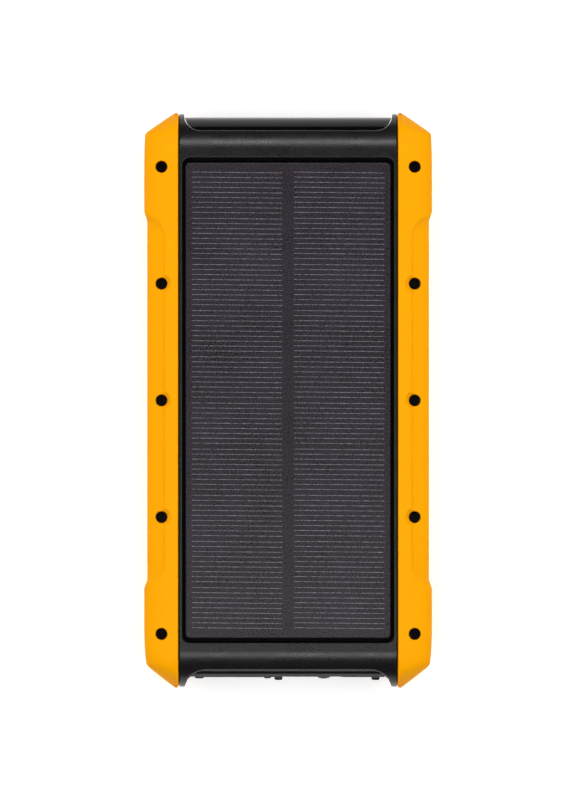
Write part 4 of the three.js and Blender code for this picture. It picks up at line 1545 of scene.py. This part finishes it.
# ---- Lamp end ----
class HalfRoundBar:
    """The lamp window's rule: a bar with half-round faces, drawn along X."""

    TREE = "half_round_bar"
    STEPS = 28  # straight pieces in each rounded edge

    @classmethod
    def tree(cls) -> Any:
        """Builds the node tree: a round-cornered section carried along a straight path."""
        sizes = dict.fromkeys(("Length", "Height", "Depth", "Radius"), "Float")
        tree, given = new_tree(cls.TREE, sizes)
        half = multiply(tree, given["Length"], 0.5)
        path = {
            "Start": feed(tree, "ShaderNodeCombineXYZ", {"X": multiply(tree, half, -1.0)}),
            "End": feed(tree, "ShaderNodeCombineXYZ", {"X": half}),
        }
        section = {"Width": given["Depth"], "Height": given["Height"]}
        rounded = {
            "Curve": feed(tree, "GeometryNodeCurvePrimitiveQuadrilateral", section, "Curve"),
            "Radius": given["Radius"],
            "Count": cls.STEPS,
        }
        bar = {
            "Curve": feed(tree, "GeometryNodeCurvePrimitiveLine", path, "Curve"),
            "Profile Curve": feed(tree, "GeometryNodeFilletCurve", rounded, "Curve", mode="POLY"),
            "Fill Caps": True,
        }
        solid = feed(tree, "GeometryNodeCurveToMesh", bar, "Mesh")
        return close_tree(tree, solid, given["Finish"])

    @classmethod
    def make(cls, name: str, length: float, height: float, depth: float, radius: float) -> Any:
        """Makes a bar, centred on the origin.

        Args:
            name: the piece's name.
            length: its size along X.
            height: its size along Z.
            depth: its size along Y.
            radius: the radius of its long edges.

        Returns:
            The bar.
        """
        tree = bpy.data.node_groups.get(cls.TREE) or cls.tree()
        obj = new_piece(name, [(0, 0, 0), (MM, 0, 0), (0, MM, 0)], [(0, 1, 2)])
        values = {
            "Length": length,
            "Height": height,
            "Depth": depth,
            "Radius": radius,
            "Finish": SMOKED_POLYCARBONATE.material(),
        }
        run_tree(obj, tree, values)
        clean(obj)
        return obj


@dataclass
class LampWindow:
    """The smoked window that fills the notch at the lamp end."""

    shell: Shell
    inset: float = 1 * MM  # inside the shells' half-round end
    wall: float = 1.8 * MM
    clearance: float = 0.2 * MM
    blank_length: float = 80 * MM  # of the bar that the window is trimmed from
    blank_depth: float = 30 * MM
    overshoot: float = 5 * MM
    arc_steps: int = 12

    def plan(self) -> list[Flat]:
        """The notch's outline from the front, less the clearance."""
        shell = self.shell
        half_width = NOTCH[1].half_width
        radius = NOTCH[1].corner - self.clearance
        centre = shell.notch_wall + NOTCH[1].corner
        left = []
        for k in range(self.arc_steps + 1):
            angle = math.pi + math.pi / 2 * k / self.arc_steps
            point = (-half_width + radius * math.cos(angle), centre + radius * math.sin(angle))
            left.append(point)
        right = [(-x, y) for x, y in left[::-1]]
        top = centre + self.overshoot
        return left + right + [(right[-1][0], top), (left[0][0], top)]

    def build(self) -> None:
        """Builds and dresses the window."""
        shell = self.shell
        reach = shell.high.y - self.inset
        height = 2 * (shell.face - self.inset - MID_Z)
        depth = self.blank_depth
        radius = shell.end_radius - self.inset
        window = HalfRoundBar.make("lamp_window_lens", self.blank_length, height, depth, radius)
        shift(window, (0, reach - depth / 2, MID_Z))
        hollow = HalfRoundBar.make(
            "hollow", 2 * NOTCH[1].half_width, height - 2 * self.wall, depth, radius - self.wall
        )
        shift(hollow, (0, reach - self.wall - depth / 2, MID_Z))
        trim = prism("trim", self.plan(), 0, 2 * MID_Z, Axis.ALONG_Z)
        combine(window, [trim], "INTERSECT")
        combine(window, [hollow])
        dress(window, SMOKED_POLYCARBONATE, stands_for=["lamp_window"])


# ---- Socket end ----
# What the bezel opens for, and the corner radius of each opening.
OPENINGS = {
    "usb_a_shell_left": 0.6 * MM,
    "usb_a_shell_right": 0.6 * MM,
    "usb_c_shell": 1.6 * MM,
    "cover_anchor_left": 0.2 * MM,
    "cover_anchor_right": 0.2 * MM,
}
CUTTER_PLAY = 5 * MM
BUTTON_SIDES = 48
PIN_SIDES = 24


@dataclass
class PortBezel:
    """The plate that frames the sockets, with its openings."""

    face: float = -81 * MM
    ledge_face: float = -82.6 * MM
    ledge: float = 0.7 * MM
    radius: float = 2 * MM
    edge: float = 0.22 * MM
    room: float = 0.2 * MM
    groove_width: float = 0.75 * MM
    groove_depth: float = 0.5 * MM
    pod_low: Flat = (-1 * MM, 6.2 * MM)
    pod_high: Flat = (13.7 * MM, 21.8 * MM)
    pod_radius: float = 2.5 * MM
    pod_edge: float = 0.45 * MM
    pod_root: float = 0.6 * MM
    tray_corner: float = 0.2 * MM
    tray_edge: float = 0.15 * MM
    mouth_chamfer: float = 0.4 * MM
    hole_depth: float = 6 * MM
    pin_hole: float = 0.65 * MM
    groove_foot: float = 0.2 * MM
    groove_root: float = 0.3 * MM
    opening_span: Flat = (-86 * MM, -76 * MM)
    opening_edge: float = 0.02 * MM
    corner_steps: int = 8

    def build(self) -> None:
        """Builds and dresses the bezel with its two ledges and the pod around its button."""
        low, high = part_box("port_bezel")
        plate = moulded_block(
            "socket_bezel",
            (low.x, self.ledge_face, low.z),
            high,
            self.radius,
            self.edge,
            Axis.ALONG_Y,
            steps=self.corner_steps,
        )
        tray = moulded_block(
            "tray",
            (low.x - CUTTER_PLAY, low.y - CUTTER_PLAY, low.z + self.ledge),
            (high.x + CUTTER_PLAY, self.face, high.z - self.ledge),
            self.tray_corner,
            self.tray_edge,
            Axis.ALONG_Y,
        )
        combine(plate, [tray, *(self.groove(low, high, side) for side in (low.z, high.z))])
        pod = moulded_block(
            "pod",
            (self.pod_low[0], low.y, self.pod_low[1]),
            (self.pod_high[0], self.face + self.pod_root, self.pod_high[1]),
            self.pod_radius,
            self.pod_edge,
            Axis.ALONG_Y,
            steps=self.corner_steps,
        )
        combine(plate, [pod], "UNION")
        cutters = [self.opening(node, corner) for node, corner in OPENINGS.items()]
        x, z = middle(*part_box("power_button"))
        radius, chamfer = PowerButton.radius + self.room, self.mouth_chamfer
        mouth = [(radius + chamfer, 0.0), (radius, chamfer), (radius, self.hole_depth)]
        cutters.append(turned("hole", mouth, (x, low.y, z), Axis.ALONG_Y, BUTTON_SIDES))
        bore = [(self.pin_hole, -MM), (self.pin_hole, self.hole_depth)]
        for x in LightGuide().places():
            cutters.append(turned("hole", bore, (x, low.y, z), Axis.ALONG_Y, PIN_SIDES))
        combine(plate, [merged("openings", cutters)])
        dress(plate, BEZEL_PC_ABS, stands_for=["port_bezel"])

    def groove(self, low: Vector, high: Vector, level: float) -> Any:
        """The groove that sets a ledge off from the shell's lip.

        Args:
            low: the lowest corner of the bezel's box.
            high: its highest corner.
            level: the ledge's height.

        Returns:
            The groove's cutter.
        """
        inward = math.copysign(self.groove_depth, MID_Z - level)
        near = self.face + self.groove_root
        far = self.face - self.groove_width
        outline = [
            (near, level - inward),
            (far - self.groove_foot, level - inward),
            (far, level),
            (self.face, level + inward),
            (near, level + inward),
        ]
        return prism("groove", outline, low.x - MM, high.x + MM, Axis.ALONG_X)

    def opening(self, node: str, corner: float) -> Any:
        """The room for one socket or anchor, through the plate.

        Args:
            node: the CAD node that the room is for.
            corner: the radius of the room's corners.

        Returns:
            The room's cutter.
        """
        low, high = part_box(node)
        front, back = self.opening_span
        return moulded_block(
            "opening",
            (low.x - self.room, front, low.z - self.room),
            (high.x + self.room, back, high.z + self.room),
            corner,
            self.opening_edge,
            Axis.ALONG_Y,
        )


@dataclass
class PortCover:
    """A soft cover with a plug for each socket, a pull tab and a strap to its anchor."""

    side: Side
    plugs: tuple[str, ...]
    body: str
    tip: float  # where the cover ends along X
    tab_x: float
    corner: float = 2.5 * MM
    edge: float = 0.45 * MM
    face: float = -82.8 * MM
    back: float = -81.25 * MM
    plug_end: float = -79.9 * MM
    plug_room: float = 0.4 * MM
    socket_wall: float = 0.3 * MM
    tab_width: float = 2.4 * MM
    tab_low: float = 10 * MM
    tab_high: float = 18 * MM
    tab_corner: float = 1.15 * MM
    tab_edge: float = 0.45 * MM
    plug_corner: float = 0.7 * MM
    plug_edge: float = 0.3 * MM
    plug_root: float = 0.5 * MM
    ridges: tuple[Flat, ...] = ()
    ridge_rise: float = 0.45 * MM
    ridge_reach: float = 1.5 * MM  # past the tab, up and down
    ridge_corner: float = 0.9 * MM
    ridge_edge: float = 0.38 * MM
    root: float = 0.6 * MM  # how far the tab and the ridges reach into the cover
    anchor_corner: float = 0.3 * MM
    anchor_edge: float = 0.15 * MM
    strap_front: float = 0.25 * MM  # behind the anchor's face
    strap_back: float = 0.55 * MM  # before the cover's back
    strap_side: float = 0.6 * MM  # narrower than the anchor, above and below
    strap_steps: int = 16
    strap_lap: float = 0.5 * MM
    strap_thickness: float = 0.5 * MM
    strap_bow: float = 0.25 * MM

    def build(self) -> None:
        """Builds and dresses the cover, its anchor and its strap."""
        low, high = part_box(f"port_cover_{self.side.word}")
        name = f"{self.side.word}_socket_cover"
        cover = moulded_block(
            name,
            (low.x, self.face, low.z),
            (self.tip, self.back, high.z),
            self.corner,
            self.edge,
            Axis.ALONG_Y,
        )
        half = self.tab_width / 2
        tab = moulded_block(
            "tab",
            (self.tab_x - half, low.y, self.tab_low),
            (self.tab_x + half, self.face + self.root, self.tab_high),
            self.tab_corner,
            self.tab_edge,
            Axis.ALONG_Y,
        )
        parts = [tab]
        for node in self.plugs:
            a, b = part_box(node)
            room = self.plug_room + self.socket_wall
            parts.append(
                moulded_block(
                    "plug",
                    (a.x + room, self.back - self.plug_root, a.z + room),
                    (b.x - room, self.plug_end, b.z - room),
                    self.plug_corner,
                    self.plug_edge,
                    Axis.ALONG_Y,
                )
            )
        for start, stop in self.ridges:
            parts.append(self.ridge(start, stop))
        combine(cover, parts, "UNION")
        dress(cover, ELASTOMER, self.body, [f"port_cover_{self.side.word}"])
        self.build_hinge(low)

    def ridge(self, start: float, stop: float) -> Any:
        """A low upright ridge on the cover's face, between two places along X.

        Args:
            start: where it starts along X.
            stop: where it stops.

        Returns:
            The ridge.
        """
        return moulded_block(
            "ridge",
            (start, self.face - self.ridge_rise, self.tab_low - self.ridge_reach),
            (stop, self.face + self.root, self.tab_high + self.ridge_reach),
            self.ridge_corner,
            self.ridge_edge,
            Axis.ALONG_Y,
        )

    def build_hinge(self, low: Vector) -> None:
        """Builds the anchor in the bezel and the bowed strap between it and the cover.

        Args:
            low: the lowest corner of the cover's box.
        """
        a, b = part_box(f"cover_anchor_{self.side.word}")
        name = f"{self.side.word}_cover_anchor"
        anchor = moulded_block(name, a, b, self.anchor_corner, self.anchor_edge, Axis.ALONG_Y)
        dress(anchor, ELASTOMER, stands_for=[f"cover_anchor_{self.side.word}"])
        start, stop = (a.x + b.x) / 2, low.x + self.strap_lap
        front = a.y + self.strap_front
        fall = self.back - self.strap_back - front
        half, steps = self.strap_thickness / 2, self.strap_steps
        outline = []
        for sign in (1, -1):
            for k in range(steps + 1):
                t = k / steps if sign > 0 else 1 - k / steps
                bow = self.strap_bow * math.sin(math.pi * t)
                lean = smooth_step(t) * fall
                outline.append((start + (stop - start) * t, front - bow + lean + sign * half))
        name = f"{self.side.word}_cover_strap"
        low_z, high_z = a.z + self.strap_side, b.z - self.strap_side
        strap = prism(name, outline, low_z, high_z, Axis.ALONG_Z)
        strap.data.materials.append(ELASTOMER.material())
        strap.data.shade_smooth()
        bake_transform(strap)
        log.info("%s: %d faces, bends", strap.name, len(strap.data.polygons))


@dataclass
class PowerButton:
    """The domed power button and its flange."""

    radius: float = 2.1 * MM
    flange_radius: float = 2.7 * MM
    stem_radius: float = 1.1 * MM
    flange_front: float = -79.7 * MM
    flange: float = 0.6 * MM
    dome: float = 0.9 * MM
    dome_steps: int = 8

    def build(self) -> None:
        """Builds and dresses the button."""
        low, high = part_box("power_button")
        x, z = middle(low, high)
        profile = []
        for k in reversed(range(self.dome_steps)):
            angle = math.pi / 2 * k / self.dome_steps
            profile.append((self.radius * math.cos(angle), self.dome * (1 - math.sin(angle))))
        flange = self.flange_front - low.y
        profile += [
            (self.radius, flange),
            (self.flange_radius, flange),
            (self.flange_radius, flange + self.flange),
            (self.stem_radius, flange + self.flange),
            (self.stem_radius, high.y - low.y),
        ]
        button = turned("domed_power_button", profile, (x, low.y, z), Axis.ALONG_Y, BUTTON_SIDES)
        dress(button, ELASTOMER, "button", ["power_button"])


@dataclass
class LightGuide:
    """The clear guide whose pins carry the charge indicator's light to the bezel."""

    count: int = 4
    pitch: float = 1.6 * MM
    pin_radius: float = 0.55 * MM
    tip: tuple[Flat, ...] = ((0.33 * MM, 0.0), (0.495 * MM, 0.1 * MM), (0.55 * MM, 0.3 * MM))
    lap: float = 0.1 * MM
    bar_corner: float = 0.4 * MM
    bar_edge: float = 0.15 * MM

    def places(self) -> list[float]:
        """Where the pins stand along X."""
        x = middle(*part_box("indicator_light_guide"))[0]
        return [x + (k - (self.count - 1) / 2) * self.pitch for k in range(self.count)]

    def build(self) -> None:
        """Builds and dresses the guide."""
        low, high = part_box("indicator_light_guide")
        x, z = middle(low, high)
        length = PowerButton.flange_front + self.lap - low.y
        profile = [*self.tip, (self.pin_radius, length)]
        pins = turned("indicator_pins", profile, ORIGIN, Axis.ALONG_Y, PIN_SIDES)
        Rows.repeat(pins, self.count, 1, self.pitch, 0.0, CLEAR_ACRYLIC)
        shift(pins, (x, low.y, z))
        bar = moulded_block(
            "indicator_guide_bar",
            (low.x, PowerButton.flange_front, low.z),
            (high.x, high.y, high.z),
            self.bar_corner,
            self.bar_edge,
            Axis.ALONG_Y,
        )
        combine(bar, [pins], "UNION")
        dress(bar, CLEAR_ACRYLIC, stands_for=["indicator_light_guide"])


# ---- Inside ----
INSIDE: dict[Finish, tuple[str, ...]] = {
    SILICONE: ("side_seal_left", "side_seal_right", "port_bezel_seal"),
    FOAM: ("cell_foam_pad",),
    ADHESIVE_TAPE: ("solar_tape",),
    BLACK_BOARD: ("solar_board",),
    METALLISED: ("lamp_reflector",),
    ROLLED_ALUMINIUM: ("lamp_board", "output_capacitor"),
    PHOSPHOR: ("lamp_led_left", "lamp_led_right"),
    NICKEL_PLATED_STEEL: (
        "usb_a_shell_left",
        "usb_a_shell_right",
        "usb_c_shell",
        "board_screw_left",
        "board_screw_right",
    ),
    WHITE_NYLON: ("usb_a_tongue_left", "usb_a_tongue_right", "switch_plunger"),
    BLACK_NYLON: ("usb_c_tongue", "switch_body", "charge_controller"),
    FERRITE: ("boost_inductor",),
    GREEN_BOARD: ("main_board", "protection_board"),
    POUCH_FOIL: ("battery_cell_back", "battery_cell_front"),
    NICKEL_STRIP: ("battery_tab_positive", "battery_tab_negative"),
    RED_PVC: ("battery_lead_positive", "panel_lead"),
    BLACK_PVC: ("battery_lead_negative", "lamp_lead"),
}


def dress_inside() -> None:
    """Gives each CAD node that is kept its own finish."""
    for finish, nodes in INSIDE.items():
        for name in nodes:
            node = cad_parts[name]
            if not node.material_slots:
                node.data.materials.append(finish.material())
            for place in node.material_slots:
                place.material = finish.material()
            log.info("%s: CAD solid, %s", name, finish.name)


# ---- Studio ----
@dataclass(frozen=True)
class Softbox:
    """A soft rectangular light."""

    name: str
    place: Point
    size: Flat
    power: float  # in watts

    def hang(self, aim: Vector) -> None:
        """Hangs the light, facing a point.

        Args:
            aim: the point that it faces.
        """
        lamp = bpy.data.lights.new(self.name, "AREA")
        lamp.shape = "RECTANGLE"
        lamp.size, lamp.size_y = self.size
        lamp.energy = self.power
        obj = link(self.name, lamp)
        obj.location = self.place
        toward = aim - Vector(self.place)
        obj.rotation_euler = toward.to_track_quat("-Z", "Y").to_euler()


@dataclass
class Studio:
    """A plain pale floor, large soft lights, and the camera straight above the panel."""

    floor_size: float = 4.0
    floor_glow: float = 0.42  # the floor gives off a little light, which takes the shadows out
    floor_gap: float = 0.02 * MM
    distance: float = 2.5
    frame_height: float = 240 * MM
    aside: Flat = (-0.18 * MM, 0.1 * MM)  # the camera isn't quite over the middle
    sensor: float = 36.0
    surroundings: float = 0.06
    softboxes: tuple[Softbox, ...] = (
        Softbox("near_softbox", (0, -0.285, 0.95), (1.1, 0.16), 4.6),
        Softbox("far_softbox", (0, 0.56, 1.0), (1.1, 0.16), 6.8),
        Softbox("left_softbox", (-1.05, 0.0, 0.95), (0.35, 1.2), 3.4),
        Softbox("right_softbox", (1.05, 0.0, 0.95), (0.35, 1.2), 3.4),
    )

    def floor(self) -> None:
        """Lays the floor that the bank lies on."""
        half = self.floor_size / 2
        z = CAD_BOUNDS[0].z - self.floor_gap
        corners = [(-half, -half, z), (half, -half, z), (half, half, z), (-half, half, z)]
        floor = new_piece("studio_floor", corners, [(0, 1, 2, 3)])
        if floor.data.polygons[0].normal.z < 0:
            floor.data.flip_normals()
        material = PAPER.material()
        shader = next(n for n in material.node_tree.nodes if n.type == "BSDF_PRINCIPLED")
        shader.inputs["Emission Color"].default_value = linear(0xFFFFFF)
        shader.inputs["Emission Strength"].default_value = self.floor_glow
        floor.data.materials.append(material)

    def lights(self) -> None:
        """Hangs the lights and sets the studio's dim surroundings."""
        for softbox in self.softboxes:
            softbox.hang(Vector((0.0, 0.0, MID_Z)))
        world = bpy.data.worlds.new("dim_studio")
        world.use_nodes = True
        background = world.node_tree.nodes["Background"]
        background.inputs["Color"].default_value = linear(0xF2F3F5)
        background.inputs["Strength"].default_value = self.surroundings
        bpy.context.scene.world = world
        bpy.context.scene.view_settings.view_transform = "Standard"

    def camera(self) -> None:
        """Hangs the camera over the panel, with the lamp end at the top of the view."""
        lens = bpy.data.cameras.new("camera")
        lens.sensor_width = self.sensor
        lens.lens = self.sensor * self.distance / self.frame_height
        obj = link("camera", lens)
        obj.location = (*self.aside, self.distance + MID_Z)
        bpy.context.scene.camera = obj

    def build(self) -> None:
        """Sets up the whole studio."""
        self.floor()
        self.lights()
        self.camera()


def main() -> None:
    """Builds the bank and the studio."""
    logging.basicConfig(level=logging.INFO, format="%(message)s")
    Studio().build()
    rails = [Rail(side) for side in Side]
    for rail in rails:
        rail.build()
    RailScrews().build(rails[0])
    shells = [Shell(half) for half in Half]
    for shell in shells:
        shell.build()
    AdhesiveShadowBead(shells[0]).build()
    SolarPanel().build()
    LampWindow(shells[0]).build()
    PortBezel().build()
    ridges = ((-27.9 * MM, -25.2 * MM), (-7.2 * MM, -5.1 * MM))
    plugs = ("usb_a_shell_left", "usb_c_shell")
    PortCover(Side.LEFT, plugs, "left_cover", -1.8 * MM, -2.9 * MM, ridges=ridges).build()
    plugs = ("usb_a_shell_right",)
    PortCover(Side.RIGHT, plugs, "right_cover", 29.2 * MM, 26.2 * MM).build()
    PowerButton().build()
    LightGuide().build()
    dress_inside()


if __name__ == "__main__":
    main()
